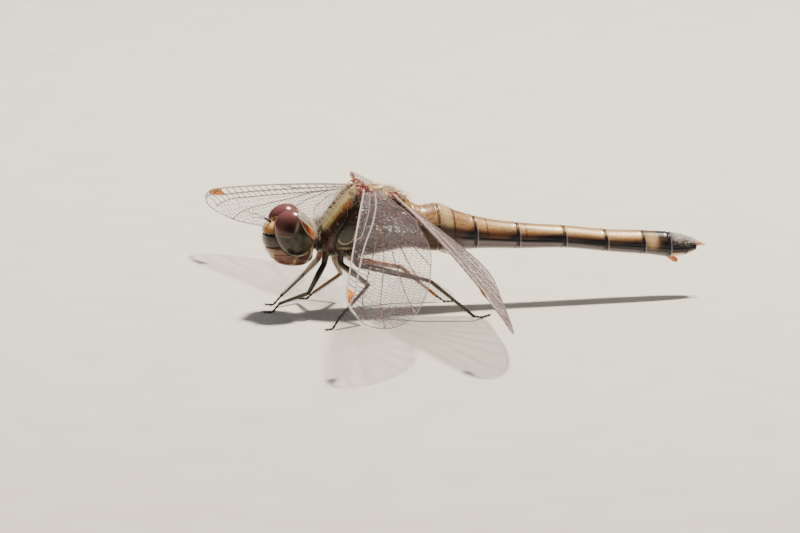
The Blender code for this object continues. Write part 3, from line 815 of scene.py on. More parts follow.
def stigma_material(tints):
    # The thick coloured cell near the tip: blood-filled chitin, orange and waxy.
    material, tree, shader = new_material("chitin_cell_amber", Roughness=0.45, IOR=1.30)
    finish(tree, shader, tints.stigma, [
        ("#8E5A26", stripe(tree, grain(tree, 0.3), 0.36, 0.10, 0.08)),
    ], grain(tree, 0.12), 0.01)
    return material


def hair_material(name, colour, root):
    # Fine setae of hollow chitin: silky, with a sheen, a few of them darker.
    material, tree, shader = new_material(name, Roughness=0.42, IOR=1.55, Sheen_Weight=0.3)
    finish(tree, shader, colour, [(root, stripe(tree, grain(tree, 0.5), 0.34, 0.10, 0.06))])
    return material


def tail_material(tints):
    # Waxy orange cuticle of the tail's claspers and scale, the claspers' tips pale.
    material, tree, shader = new_material("cuticle_waxy_coral", Roughness=0.33, IOR=1.55)
    finish(tree, shader, tints.tail, [
        ("#7A3B20", stripe(tree, grain(tree, 0.16), 0.35, 0.10, 0.06), 0.7),
        ("#E6CDB8", "pale"),
    ], grain(tree, 0.06), 0.01)
    return material


# ----------------------------------------------------------------- properties

def length_setting(name, what, default, low, high):
    """A length that a user may change, in millimetres."""
    return FloatProperty(name=name, description=what + ", in millimetres", default=default,
                         min=low, max=high)


def colour_setting(name, what, code):
    """A colour that a user may change, from its sRGB hex value."""
    return FloatVectorProperty(name=name, description=what, subtype="COLOR", size=4,
                               default=linear(code))


class DarterSizes(bpy.types.PropertyGroup):
    """Sizes that a user may change"""

    hair_length: length_setting("Hair length", "Length of the thorax's hairs", 1.10, 0.1, 3.0)
    hair_radius: length_setting("Hair radius", "Radius of a hair at its root", 0.010, 0.002, 0.1)
    hair_count: IntProperty(
        name="Hairs", description="Number of hairs tried on the thorax", default=9000, min=0, max=10000)
    film: length_setting("Film thickness", "Thickness of the wing film", 0.05, 0.01, 0.4)
    vein: length_setting("Vein radius", "Radius of an ordinary long vein", 0.050, 0.01, 0.2)
    cell: length_setting("Wing cell", "Width of the wing's smallest cells", 0.50, 0.2, 2.0)
    spine: length_setting("Spine length", "Length of the spines of the shins", 0.75, 0.1, 1.5)


class DarterColours(bpy.types.PropertyGroup):
    """Colours of the cuticle, the eyes, the wings and the floor"""

    thorax_back: colour_setting("Thorax, back", "Golden olive of the thorax's upper front", "#A28A48")
    thorax_side: colour_setting("Thorax, side", "Very dark brown of the thorax's sides", "#2B1A11")
    thorax_low: colour_setting("Thorax, low", "Dark red brown above the hips", "#321410")
    panel: colour_setting("Side panel", "Dark olive of the panels between the sutures", "#393A2B")
    pale: colour_setting("Pale marks", "Cream of the borders and the wing bases", "#CDB88A")
    abdomen_back: colour_setting("Abdomen, back", "Golden tan of the abdomen's upper side", "#AF8654")
    abdomen_side: colour_setting("Abdomen, side", "Brown of the abdomen's sides", "#463228")
    abdomen_low: colour_setting("Abdomen, below", "Mauve grey below the side line", "#6B6064")
    ring: colour_setting("Joint rings", "Pale grey of the rings at the abdomen's joints", "#A8A3A6")
    eye_top: colour_setting("Eye, top", "Maroon of the upper eye", "#4A2824")
    eye_low: colour_setting("Eye, below", "Dark brown of the lower eye", "#2F271D")
    face: colour_setting("Frons", "Amber of the upper face", "#BC7A2C")
    mouth: colour_setting("Mouth plates", "Reddish brown of the labium", "#683824")
    leg: colour_setting("Leg", "Black of the legs", "#14110F")
    leg_stripe: colour_setting("Leg stripe", "Cream of the stripe along the legs", "#BFA66A")
    leg_warm: colour_setting("Leg, warm parts", "Orange brown of the hips and the right legs", "#9A5F2A")
    film: colour_setting("Wing film", "Tint of the clear wing film", "#B9B9C6")
    film_opacity: FloatProperty(
        name="Film opacity", description="How much of what is behind the film it hides",
        subtype="FACTOR", default=0.03, min=0.0, max=1.0)
    vein: colour_setting("Veins", "Dark red brown of the wing veins", "#4A2E28")
    vein_lead: colour_setting("Leading edge", "Pinkish grey of the wing's leading edge", "#B5A4A2")
    stigma: colour_setting("Stigma", "Orange of the coloured cell near each wing tip", "#D07E2C")
    tail: colour_setting("Tail", "Pale orange of the claspers and the scale below", "#C8764A")
    hair: colour_setting("Hair", "Cream of the body's hairs", "#EFE9DC")
    floor: colour_setting("Floor", "Pale warm grey of the studio floor", "#CDCAC3")


# ------------------------------------------------------------------- the head

def face_rings(low, high):
    """Level rings of the face between two heights, pulled in at both ends.

    Each ring is |(x - m)/(front - m)|^n + |y/w|^n = 1 ahead of the middle m, and the
    same with a depth of 0.9 mm behind it, with n = 2.3.  Bells of 0.07 mm pull each
    end in by a tenth.
    """
    table = np.array(FACE)
    z = np.linspace(low, high, 44)
    front, half = (smooth_curve(table[:, 0], table[:, i], z) for i in (1, 2))
    inward = 1 - 0.10 * (bump(z - low, 0.07) + bump(z - high, 0.07))
    angle = 2 * math.pi * np.arange(96) / 96
    ahead, across = np.cos(angle), np.sin(angle)
    power = 2 / 2.3
    reach = np.where(ahead > 0, (FACE_MIDDLE - front)[:, None], 0.9)
    x = FACE_MIDDLE - reach * np.sign(ahead) * np.abs(ahead) ** power * inward[:, None]
    y = half[:, None] * np.sign(across) * np.abs(across) ** power * inward[:, None]
    return np.stack([x, y, np.repeat(z[:, None], 96, 1)], -1)


def eye_surface(directions, scale):
    """Points where directions from the left eye's middle, in its own leaning axes, meet
    its superellipsoid, grown by the scale."""
    local = superellipsoid(directions, EYE_RADII, EYE_SQUARENESS) * scale
    return leaned(local, EYE_LEAN) + np.array(EYE_CENTRE) * MIRROR


def eye_directions(points):
    """The directions, in shares of the eye's radii, of points near the left eye."""
    return leaned(points - np.array(EYE_CENTRE) * MIRROR, -EYE_LEAN) / np.array(EYE_RADII)


class DARTER_OT_head(bpy.types.Operator):
    """Cranium, temples, face plates, mouth plates and the knobs between the eyes"""

    bl_idname = "darter.head"
    bl_label = "Head shell"

    def execute(self, context):
        tints = context.scene.darter_colours
        self.add_cranium(face_material("cuticle_waxy_dark", "#43301E", "#241812"))
        self.add_temples(temple_material())
        amber = face_material("cuticle_waxy_amber", tints.face, "#8A5420")
        umber = face_material("cuticle_waxy_umber", "#3E281E", "#20140F")
        tan = face_material("cuticle_waxy_tan", "#805844", "#4E3024")
        brown = face_material("cuticle_waxy_brown", tints.mouth, "#3A1712")
        self.add_face_plate("frons", "face", amber)
        self.add_face_plate("clypeus", "face", umber)
        self.add_face_plate("labrum", "mouth_plates", tan)
        self.add_labium(brown)
        self.add_knobs(amber)
        return {"FINISHED"}

    def add_cranium(self, material):
        """The capsule behind the eyes: brown, with a cream line along its rear rim.  It
        lies 0.04 mm inside the solid, and 0.3 mm deeper under the face plates."""
        at = np.linspace(-8.3, HEAD[-1][0], 70)
        rings, share = body_surface(HEAD, at, 96, *HEAD_RING)
        inset = 0.30 * ramp(-at, 6.9, 7.7) + 0.04
        rings = raised(rings, -inset[:, None])
        rim = bump(at + 5.10, 0.07)[:, None] * ramp(-share, -0.75, -0.55)
        nape = bump(at + 4.93, 0.06)[:, None] * ramp(share, 0.55, 0.8)
        add_piece("cranium_shell", closed_tube(rings), material, ["cranium"],
                  with_poles({"dark": nape * 0.8, "pale": rim * 0.9}))

    def add_temples(self, material):
        """A thin plate over each eye's upper rear, blended between its front and rear edges
        on the eye's own surface; its front part is a coloured wedge."""
        along, across = np.linspace(0, 1, 50), np.linspace(0, 1, 34)
        edges = (smooth_path((0.0, 0.5, 1.0), np.array(corners) * MIRROR, along)
                 for corners in (TEMPLE_FRONT, TEMPLE_REAR))
        front, rear = (eye_directions(edge)[:, None] for edge in edges)
        directions = front + (rear - front) * across[None, :, None]
        outer, inner = eye_surface(directions, 1.035), eye_surface(directions, 0.96)
        part = closed_tube(np.concatenate([outer, inner[:, ::-1]], axis=1))
        wedge = 0.42 * np.clip(along * 2.2, 0.02, 1.0)          # share of the width it takes
        place = across[None, :] / wedge[:, None]
        inside = ramp(-place, -1.12, -1.0)
        t = along[:, None] * np.ones_like(place)
        borders = bump(place - 1.0, 0.11) + 0.7 * bump(across[None, :], 0.025)
        fields = {
            "warm": ramp(t + 0.25 * (place - 0.5), 0.46, 0.72) * inside,
            "pale": 0.8 * np.clip(borders, 0, 1),
            "grey": 1 - inside,
            "dark": 0.95 * oval(t - 0.93, place - 0.85, 0.10, 0.45)
                    + 0.7 * bump(place - 1.30, 0.10) * ramp(t, 0.3, 0.5),
        }
        fields = with_poles(both_faces(fields))
        add_piece("temple_plates", joined([part, mirrored(part)]), material, (),
                  {key: np.tile(np.clip(value, 0, 1), 2) for key, value in fields.items()})

    def add_face_plate(self, name, slot, material):
        """A plate of the face: dark along the frons's lower edge, with painted shade beside the eyes,
        and a painted highlight in a spot on the frons or a pale line along the upper edge of the others."""
        low, high = FACE_PLATES[name]
        part = closed_tube(face_rings(low, high))
        x, z = part[0][:, 0], part[0][:, 2]
        seam = bump(z - FACE_PLATES["frons"][0] + 0.08, 0.30)
        # painted shade beside the eyes, where the face meets them
        shade_beside_eye = ramp(x, -8.35, -7.75)
        dark = 1.4 * seam + 0.85 * shade_beside_eye * ramp(-z, -7.5, -7.0) * ramp(z, 5.4, 6.2)
        if name == "frons":
            # painted highlight: a pale spot at the frons's upper front
            pale = 0.75 * bump(np.hypot(x + 8.45, z - 7.9), 0.24)
        else:
            pale = 0.3 * bump(z - high, 0.035)
        add_piece(f"{name}_plate", part, material, [name],
                  {"dark": np.clip(dark, 0, 1), "pale": pale})

    def add_labium(self, material):
        """The mouth's lower plates: two lobes, the piece between them and the throat."""
        lobe = globe((-6.62, 0.66, 5.06), (1.62, 0.90, 0.82), 2.4, -6.0, 40, 60)
        middle = globe((-7.20, 0.0, 4.72), (0.56, 0.34, 0.34), 2.2, -10.0, 20, 30)
        throat = globe((-5.45, 0.0, 5.0), (0.80, 1.30, 0.62), 2.4, 8.0, 24, 40)
        part = joined([lobe, mirrored(lobe), middle, throat])
        x, y, z = part[0].T
        midline = bump(y, 0.07) * ramp(-z, -4.9, -4.6)
        slanting = bump(x + 6.55 - 0.5 * (z - 4.6), 0.06) * ramp(np.abs(y), 0.5, 0.9)
        fields = {
            "dark": 0.6 * bump(x + 6.0, 0.10) * ramp(-z, -4.9, -4.5),
            "pale": np.clip(midline + slanting + 0.35 * bump(z - 5.18, 0.06), 0, 1) * 0.6,
        }
        add_piece("labium_plate", part, material, ["labium"], fields)

    def add_knobs(self, material):
        """The triangle between the eyes and the swelling that carries the antennae."""
        triangle = globe((-6.05, 0.0, 8.52), (0.42, 0.46, 0.42), 2.2, 20.0, 20, 30)
        swelling = globe((-7.72, 0.0, 8.02), (0.42, 0.62, 0.42), 2.2, 20.0, 20, 30)
        part = joined([triangle, swelling])
        x = part[0][:, 0]
        add_piece("vertex_knobs", part, material, (),
                  {"dark": 0.8 * ramp(-x, 7.0, 7.4), "pale": 0.9 * ramp(x, -6.6, -6.4)})


class DARTER_OT_eyes(bpy.types.Operator):
    """The two large compound eyes"""

    bl_idname = "darter.eyes"
    bl_label = "Compound eyes"

    def execute(self, context):
        material = eye_material(context.scene.darter_colours)
        for name, side in SIDES:
            self.add_eye(name, side, material)
        return {"FINISHED"}

    def add_eye(self, name, side, material):
        """An eye and its markings: ovals on its outer face, the top's maroon above a border
        that rises rearwards, and a pale edge before the cheek behind it."""
        centre = (EYE_CENTRE[0], side * EYE_CENTRE[1], EYE_CENTRE[2])
        part = globe(centre, EYE_RADII, EYE_SQUARENESS, EYE_LEAN, 110, 150)
        x, y, z = part[0].T
        local = eye_directions(part[0] * np.array([1, -side, 1]))
        outer = ramp(side * (y - centre[1]), 0.15, 0.7)
        border = 7.18 + 0.75 * ramp(x, -6.9, -6.1)
        rim = np.clip(np.abs(local[:, 1]), 0, 1)
        low_rear = ramp(local[:, 0] - local[:, 2], 0.35, 0.7)
        spots = sum(oval(x - px, z - pz, wide, tall) for px, pz, wide, tall in EYE_SPOTS)
        # painted sheen: the top of the eye lighter and pinker, with a painted gleam at its upper front
        painted_gleam = 0.5 * bump(np.hypot(x + 7.9, z - 8.1), 0.5)
        fields = {
            "top": ramp(z - border, -0.28, 0.28),
            "sheen": np.clip(ramp(z, 8.2, 9.1) + painted_gleam, 0, 1) * 0.75,
            "deep": oval(x + 7.15, z - 7.75, 0.62, 0.50) * outer * 0.85,
            "streak": oval(x + 6.58 - 0.35 * (z - 7.9), z - 7.95, 0.11, 0.42) * outer,
            "band": bump(z - 7.14, 0.035) * bump((x + 7.55) / 0.55, 1.0) * outer * 0.9,
            "pupil": np.clip(1.6 * spots, 0, 1) * outer,
            "rim": ramp(x - 0.25 * (z - 6.4), -5.9, -5.2) * outer * (1 - ramp(z, 7.2, 7.8)),
            "edge": bump(rim - 0.44, 0.055) * low_rear,
            "cheek": ramp(-rim, -0.42, -0.36) * low_rear,
        }
        add_piece(f"eye_{name}_cornea", part, material, [f"eye_{name}"], fields)


class DARTER_OT_antennae(bpy.types.Operator):
    """Two short bristle antennae on thicker bases"""

    bl_idname = "darter.antennae"
    bl_label = "Antennae"

    def execute(self, context):
        material = leg_material(context.scene.darter_colours)
        stations = np.linspace(0, 1, 40)
        radii = 0.036 - 0.024 * stations + 0.09 * bump(stations, 0.14)
        for name, side in SIDES:
            path = np.array(ANTENNA_PATH) * np.array([1, side, 1])
            part = closed_tube(limb_rings(path, stations, radii, 10)[0])
            plain = np.zeros(len(part[0]))
            add_piece(f"antenna_{name}_bristle", part, material, [f"antenna_{name}"],
                      {"stripe": plain, "warm": plain})
        return {"FINISHED"}


# ------------------------------------------------------------------- the body

class DARTER_OT_thorax(bpy.types.Operator):
    """Thorax skin with its sutures and panels, and the collar"""

    bl_idname = "darter.thorax"
    bl_label = "Thorax"

    def execute(self, context):
        material = thorax_material(context.scene.darter_colours)
        self.add_thorax(material)
        self.add_collar(material)
        return {"FINISHED"}

    def add_thorax(self, material):
        """The fused segments, 0.05 mm inside the solid: its rings are raised along the keel
        and sunk along the sutures, the crest's edges and the saddle between the wings."""
        at = np.linspace(THORAX[0][0], THORAX[-1][0], 220)
        rings, share = body_surface(THORAX, at, 220, *THORAX_RING)
        x, y, z = (rings[..., i] for i in range(3))
        out = np.abs(y)
        top = smooth_curve(*np.array(THORAX)[:, :2].T, at)[:, None]
        depth = top - z                                   # millimetres below the crest
        side = ramp(out, 0.9, 1.5)
        aheads = [self.ahead(x, z, line) for line in SUTURES]
        suture = np.maximum.reduce([bump(ahead, 0.085) for ahead in aheads]) * side
        front = ramp(aheads[0], -0.10, 0.10)              # ahead of the first suture
        slope = ramp(-x, 0.7, 1.0)                        # the sloping front
        crest_line = bump(out - 0.42, 0.09) * slope * ramp(depth, 0.0, 0.05)
        keel = bump(y, 0.10) * slope
        saddle = bump(out - 0.55, 0.30) * ramp(x, -1.0, -0.3) * ramp(share, 0.85, 0.97)
        height = 0.08 * keel - 0.10 * suture - 0.05 * crest_line - 0.10 * saddle

        def patch(middle_x, middle_z, wide, tall, edge=0.12):
            """One inside a leaning oval on the sides, narrower above, zero outside it."""
            rise = z - middle_z
            reach = np.hypot((x - middle_x - 0.22 * rise) / (wide * (1 - 0.22 * rise)), rise / tall)
            return ramp(-reach, -1 - edge, -1 + edge) * side

        panel = patch(-2.12, 7.00, 0.60, 0.76)
        around = patch(-2.10, 6.98, 0.84, 1.00) - panel
        lip = 0.85 * patch(-2.14, 6.95, 0.655, 0.80) * (1 - panel) * ramp(0.5 * x - z, -8.2, -7.7)
        rear_panels = patch(0.35, 6.6, 0.55, 1.0, 0.3) + patch(2.15, 7.6, 0.55, 1.3, 0.3)
        # golden band along the crest and lighter top behind the first suture: partly the cuticle's own
        # colour, partly a painted highlight
        golden_and_highlight = (1 - ramp(depth, 0.70, 1.05)) * ramp(out, 0.45, 0.58) * front
        back = ramp(-depth, -0.9, -0.4) * (1 - front)
        front_spot = oval(x + 1.85, depth - 1.0, 0.60, 0.34) * front
        rear_spot = 0.8 * bump(np.hypot(x - 3.1, out - 0.5), 0.7) * ramp(share, 0.8, 0.9)
        # painted shade: the sides darken with depth below the crest and under the wings, over their own
        # dark brown
        front_shade = front * ramp(depth, 1.0, 1.75) * (1 - 0.8 * ramp(-x, 2.9, 3.3))
        rear_shade = 0.75 * (1 - front) * ramp(depth, 0.8, 1.6) * ramp(-x, -0.6, 0.4)
        # painted highlight: a cream line along the lit crest
        painted_crest_highlight = 0.75 * bump(depth - 0.42, 0.16) * ramp(out, 0.5, 0.6) * front * slope
        # painted highlight: a pale spot low on the side, above the hips
        painted_hip_highlight = 0.5 * oval(x + 2.2, z - 5.8, 0.5, 0.10) * side
        under_panel = around * ramp(-z, -6.5, -6.2) * (1 - ramp(lip, 0.2, 0.5)) * 0.9
        fields = {
            "back": np.clip(golden_and_highlight + back * 0.8, 0, 1),
            "warm": np.clip(front_spot + rear_spot, 0, 1),
            "low": ramp(-z, -7.8, -7.0) * ramp(-x, 2.7, 3.0) + 0.6 * ramp(-z, -5.8, -5.2),
            "shade": np.clip(front_shade + 0.8 * around + rear_shade, 0, 1),
            "panel": np.clip(panel + 0.75 * rear_panels, 0, 1),
            "pale": np.clip(lip + painted_crest_highlight + painted_hip_highlight, 0, 1),
            "suture": np.clip(1.2 * suture + 0.9 * crest_line + under_panel, 0, 1),
        }
        add_piece("thorax_skin", closed_tube(raised(rings, height - 0.05)), material,
                  ["thorax"], with_poles(fields))

    def ahead(self, x, z, line):
        """How far points lie ahead of a line down the side, measured across it."""
        line = np.array(line)[::-1]
        across = np.interp(z, line[:, 1], line[:, 0])
        lean = np.interp(z, line[:, 1], np.gradient(line[:, 0], line[:, 1]))
        return (across - x) / np.sqrt(1 + lean ** 2)

    def add_collar(self, material):
        """The narrow first segment: three low hoops of dark brown with a few pale marks.
        Its rings run on for 0.1 mm, into the thorax."""
        low, high = PROTHORAX[0][0], PROTHORAX[-1][0]
        at = np.linspace(low, high + 0.10, 60)
        rings, share = body_surface(PROTHORAX, np.clip(at, low, high), 96, *COLLAR_RING)
        rings[..., 0] = at[:, None]
        z = rings[..., 2]
        hoops = sum(bump(at - x, width) for x, width in COLLAR_HOOPS)
        rings = raised(rings, 0.10 * hoops[:, None] - 0.08)
        plain = np.zeros(rings.shape[:2])
        marks = sum(oval(at[:, None] - px, z - pz, wide, tall) for px, pz, wide, tall in COLLAR_MARKS)
        fields = {
            "back": plain, "panel": plain, "shade": plain + 0.95,
            "warm": 0.8 * oval(at[:, None] + 4.28, z - 7.85, 0.14, 0.2),
            "low": 0.5 * ramp(-share, -0.45, -0.15),
            "pale": np.clip(marks, 0, 1) * 0.9,
            "suture": 0.6 * (1 - np.clip(hoops, 0, 1))[:, None] + plain,
        }
        add_piece("prothorax_collar", closed_tube(rings), material, ["prothorax"],
                  with_poles(fields))


class DARTER_OT_abdomen(bpy.types.Operator):
    """Abdomen skin of ten ringed segments with its side lines"""

    bl_idname = "darter.abdomen"
    bl_label = "Abdomen"

    def execute(self, context):
        joints = np.array(ABDOMEN_JOINTS)
        even = np.linspace(joints[0] - 0.1, joints[-1], 300)
        near = np.concatenate([joint + np.linspace(-0.25, 0.25, 20) for joint in joints[1:-1]])
        at = np.unique(np.concatenate([even, near]))
        rings, share = body_surface(ABDOMEN, at, 144, *ABDOMEN_RING)
        x, y = rings[..., 0], rings[..., 1]
        inner = joints[1:-1]
        past = x - inner[np.abs(x[..., None] - inner).argmin(-1)]     # the nearest joint
        height = self.relief(x, y, share, past)
        fields = self.markings(x, share, past)
        nodes = [f"abdomen_{number:02d}" for number in range(1, 11)]
        add_piece("abdomen_skin", closed_tube(raised(rings, height - 0.03)),
                  abdomen_material(context.scene.darter_colours), nodes,
                  with_poles(fields))
        return {"FINISHED"}

    def relief(self, x, y, share, past):
        """Height over the rings: a groove at each joint between two swellings, a keel along
        each side, a crest along the back and two grooves below."""
        keel = bump(share - 0.36, 0.035) * ramp(x, 6.0, 8.0)
        crest = bump(y, 0.07) * ramp(share, 0.8, 0.95)
        groove = bump(np.abs(y) - 0.35, 0.08) * ramp(-share, -0.15, -0.05)
        joint = (-0.06 * bump(past, 0.08) + 0.020 * bump(past - 0.15, 0.09)
                 + 0.03 * bump(past + 0.22, 0.12))
        return joint + 0.04 * keel + 0.03 * crest - 0.06 * groove

    def markings(self, x, share, past):
        """Masks of the colours, from the place along the body, the share of the ring's
        height, the height above the side line and the place in each segment."""
        above = share - np.interp(x, *SIDE_LINE)
        joints = np.array(ABDOMEN_JOINTS)
        first = np.clip(np.searchsorted(joints, x, side="right") - 1, 0, len(joints) - 2)
        along = (x - joints[first]) / np.diff(joints)[first]          # 0 to 1 in each segment
        line = 1.5 * bump(above, 0.050) * ramp(x, 7.6, 9.0)
        blot = 1.5 * oval(past + 0.30, above - 0.07, 0.62, 0.17) * ramp(x, 7.5, 9.0)
        dash = np.clip(1.5 * oval(along - 0.80, above - 0.11, 0.48, 0.17), 0, 1)
        dash_dark = ramp(x, 13.5, 15.5) * ramp(-x, -27.0, -26.0)
        side = 1 - ramp(share, 0.66, 0.86)
        carinae = sum(bump(x - place, wide) * ramp(share, low, low + 0.08)
                      for place, low, wide in CARINAE)
        ring_dark = (np.clip(2.0 * bump(past + 0.05, 0.060 + 0.075 * ramp(x, 7.0, 9.0)), 0, 1)
                     * (0.80 + 0.20 * side) * ramp(x, 5.5, 6.0))
        rear_dark = 0.88 * ramp(x, 25.75, 26.1) * ramp(share, 0.28, 0.34)
        last_dark = ramp(x, 26.95, 27.1) * ramp(share, 0.20, 0.28)
        top_dark = ramp(x, 24.65, 24.8) * ramp(share, 0.90, 0.96) * 0.65
        belly = ramp(-share, -0.07, -0.03) * 0.7
        third = 0.55 * bump((x - 6.9) / 0.55, 1.0) * ramp(share, 0.5, 0.7)
        # the lower sides darkened: partly their own brown, partly painted shade
        front_shade = 0.9 * ramp(-share, -0.56, -0.40) * (1 - ramp(x, 8.0, 9.6))
        rear_shade = 0.75 * ramp(-above, -0.26, -0.06) * ramp(x, 8.0, 9.6)
        return {
            "back": ramp(share, 0.56, 0.74) * (1 - 0.4 * ramp(share, 0.90, 1.0)),
            "low": ramp(-above, -0.03, 0.02) * ramp(x, 7.5, 9.0),
            "pale": np.clip(belly + third, 0, 1),
            # painted highlight: a cream band along the upper side where the light falls
            "shine": (0.30 + 0.45 * ramp(x, 14.0, 18.0)) * bump(share - 0.86, 0.10)
                     * (1 - ramp(x, 24.0, 25.0)) * ramp(x, 8.0, 10.0),
            "brown": 0.70 * oval(along - 0.74, share - 0.68, 0.40, 0.13) * ramp(x, 8.0, 9.6)
                     * ramp(-x, -24.6, -24.2),
            "red": 0.6 * dash * (1 - dash_dark) * ramp(x, 9.6, 10.4),
            "grey": ramp(x, 26.9, 27.6) * ramp(share, 0.62, 0.80) * 0.8,
            "spot": np.clip(oval(x - 25.35, share - 0.58, 0.5, 0.2)
                            + ramp(x, 27.0, 27.3) * (1 - ramp(share, 0.14, 0.24)), 0, 1),
            "shade": np.clip(front_shade + rear_shade, 0, 1),
            "dark": np.clip(line + blot + dash * dash_dark + rear_dark + last_dark + top_dark, 0, 1)
                    * (1 - ramp(-above, 0.03, 0.06) * ramp(-x, -26.9, -26.7)),
            "line": np.clip(carinae + ring_dark, 0, 1),
            "ring": bump(past - 0.15, 0.045) * ramp(x, 8.0, 9.0) * (0.10 + 0.50 * side)
                    * ramp(-x, -28.2, -28.0),
        }


class DARTER_OT_tail(bpy.types.Operator):
    """Claspers at the tip and the scale under the eighth segment"""

    bl_idname = "darter.tail"
    bl_label = "Tail"

    def execute(self, context):
        material = tail_material(context.scene.darter_colours)
        stations = np.linspace(0, 1, 36)
        # Round off the last fifth of each length by sqrt(1 - u squared).
        round_end = np.sqrt(1 - np.clip((stations - 0.8) / 0.2, 0, 0.999) ** 2)
        radii = (0.17 + 0.05 * np.sin(math.pi * stations) - 0.09 * stations) * round_end
        tip = np.append(np.repeat(ramp(stations, 0.30, 0.75), 20), [0, 1])
        for name, side in SIDES:
            path = np.array(CERCUS_PATH) * np.array([1, side, 1])
            part = closed_tube(limb_rings(path, stations, radii, 20, 0.9)[0])
            add_piece(f"cercus_{name}_shell", part, material, [f"cercus_{name}"],
                      {"pale": tip})
        radii = (0.30 - 0.10 * stations) * round_end
        part = closed_tube(limb_rings(SCALE_PATH, stations, radii, 24, 1.3)[0])
        add_piece("vulvar_scale_shell", part, material, ["vulvar_scale"],
                  {"pale": np.zeros(len(part[0]))})
        return {"FINISHED"}


# ------------------------------------------------------------------ the wings

def wing_table(name):
    """Where a wing's points lie: functions of the share of its span.

    The leading line is walked in steps along the span's direction, whose droop grows by
    the bend from root to tip.  Behind each of its points the sheet runs along
    level * cos(pitch) + under * sin(pitch), where level lies flat and under points down.
    """
    length, hinge, chords = WINGS[name.split("_")[0]]
    side = -1 if name.endswith("left") else 1
    sweep, droop, root_pitch, tip_pitch, bend = np.radians(WING_POSES[name])
    share = (1 - np.cos(np.linspace(0.0, math.pi, WING_STATIONS))) / 2
    drop = droop + bend * (share - 0.5)
    span = np.stack([math.sin(sweep) * np.cos(drop), side * math.cos(sweep) * np.cos(drop),
                     -np.sin(drop)], -1)
    steps = np.vstack([np.zeros(3), span[:-1] * length * np.diff(share)[:, None]])
    edge = np.array([hinge[0], side * hinge[1], hinge[2]]) + np.cumsum(steps, axis=0)
    level = np.array([math.cos(sweep), -side * math.sin(sweep), 0.0]) * np.ones((WING_STATIONS, 1))
    under = np.cross(span, level)
    under *= -np.sign(under[:, 2:3])
    pitch = (root_pitch + (tip_pitch - root_pitch) * share)[:, None]
    back = level * np.cos(pitch) + under * np.sin(pitch)
    lift = np.cross(span, back)
    lift *= np.sign(lift[:, 2:3])

    def front_edge(s):
        """Distance of the front edge behind the leading line: none, and in the tip the
        setback times 1 - sqrt(1 - u squared), with u from 0 at its start to 1 at its end."""
        into_tip = np.clip((s - TIP_START) / (1 - TIP_START), 0, 1)
        return TIP_SETBACK * (1 - np.sqrt(1 - into_tip ** 2))

    def rear_edge(s):
        """Distance of the hind margin: the chord, but at least the tip's width behind the
        front edge."""
        return np.maximum(smooth_curve(*np.array(chords).T, s), front_edge(s) + TIP_WIDTH)

    def place(s, behind):
        """Points on the pleated sheet, edge + back * behind + lift * pleat, and the lift.

        A pleat is a cosine over the distance behind, which fades rearwards as an
        exponential and to half at the tip.
        """
        start, rearward, up = (smooth_path(share, column, s) for column in (edge, back, lift))
        up = unit(up)
        pleat = (PLEAT_HEIGHT * np.cos(2 * math.pi * behind / PLEAT_PITCH)
                 * np.exp(-behind / PLEAT_FADE) * (1 - 0.5 * s))
        return start + rearward * behind[..., None] + up * pleat[..., None], up

    return place, front_edge, rear_edge, length


def wing_net(length, front_edge, rear_edge, cell, seed):
    """Edges of the wing's cells, as the dual of a triangulation of scattered seeds.

    Seeds stand in staggered rows from 1.25 mm behind the leading line.  Their pitch falls
    from 1.75 cells at the line to one cell 4.5 mm behind it and beyond, rows lie 0.88 of
    the pitch apart, and each seed is shifted at random by up to 0.13 of it.  A cell's
    corner is the middle of a triangle of seeds, and an edge joins the middles of two
    triangles that share a side.
    """
    rng = np.random.default_rng(seed)
    rows, behind = [], 1.25
    while behind < 11.0:
        pitch = cell * (1.75 - 0.75 * min(behind / 4.5, 1.0))
        count = int(length / pitch)
        x = (np.arange(count) + 0.5 * (len(rows) % 2)) * pitch
        shift = rng.uniform(-0.13, 0.13, (count, 2)) * pitch
        rows.append(np.stack([x, np.full(count, behind)], -1) + shift)
        behind += pitch * 0.88
    seeds = np.vstack(rows)
    share = np.clip(seeds[:, 0] / length, 0, 1)
    seeds = seeds[(seeds[:, 1] < rear_edge(share) + 1.1) & (seeds[:, 1] > front_edge(share) - 0.4)]
    found = delaunay_2d_cdt([Vector(p) for p in seeds], [], [], 0, 1e-6)
    corners = np.array([tuple(v) for v in found[0]])
    triangles = np.array(found[2])
    middles = corners[triangles].mean(1)
    sides = np.sort(np.vstack([triangles[:, [0, 1]], triangles[:, [1, 2]], triangles[:, [2, 0]]]), axis=1)
    owner = np.tile(np.arange(len(triangles)), 3)
    order = np.lexsort((sides[:, 1], sides[:, 0]))
    sides, owner = sides[order], owner[order]
    twin = np.where((sides[1:] == sides[:-1]).all(1))[0]
    return middles[owner[twin]], middles[owner[twin + 1]]


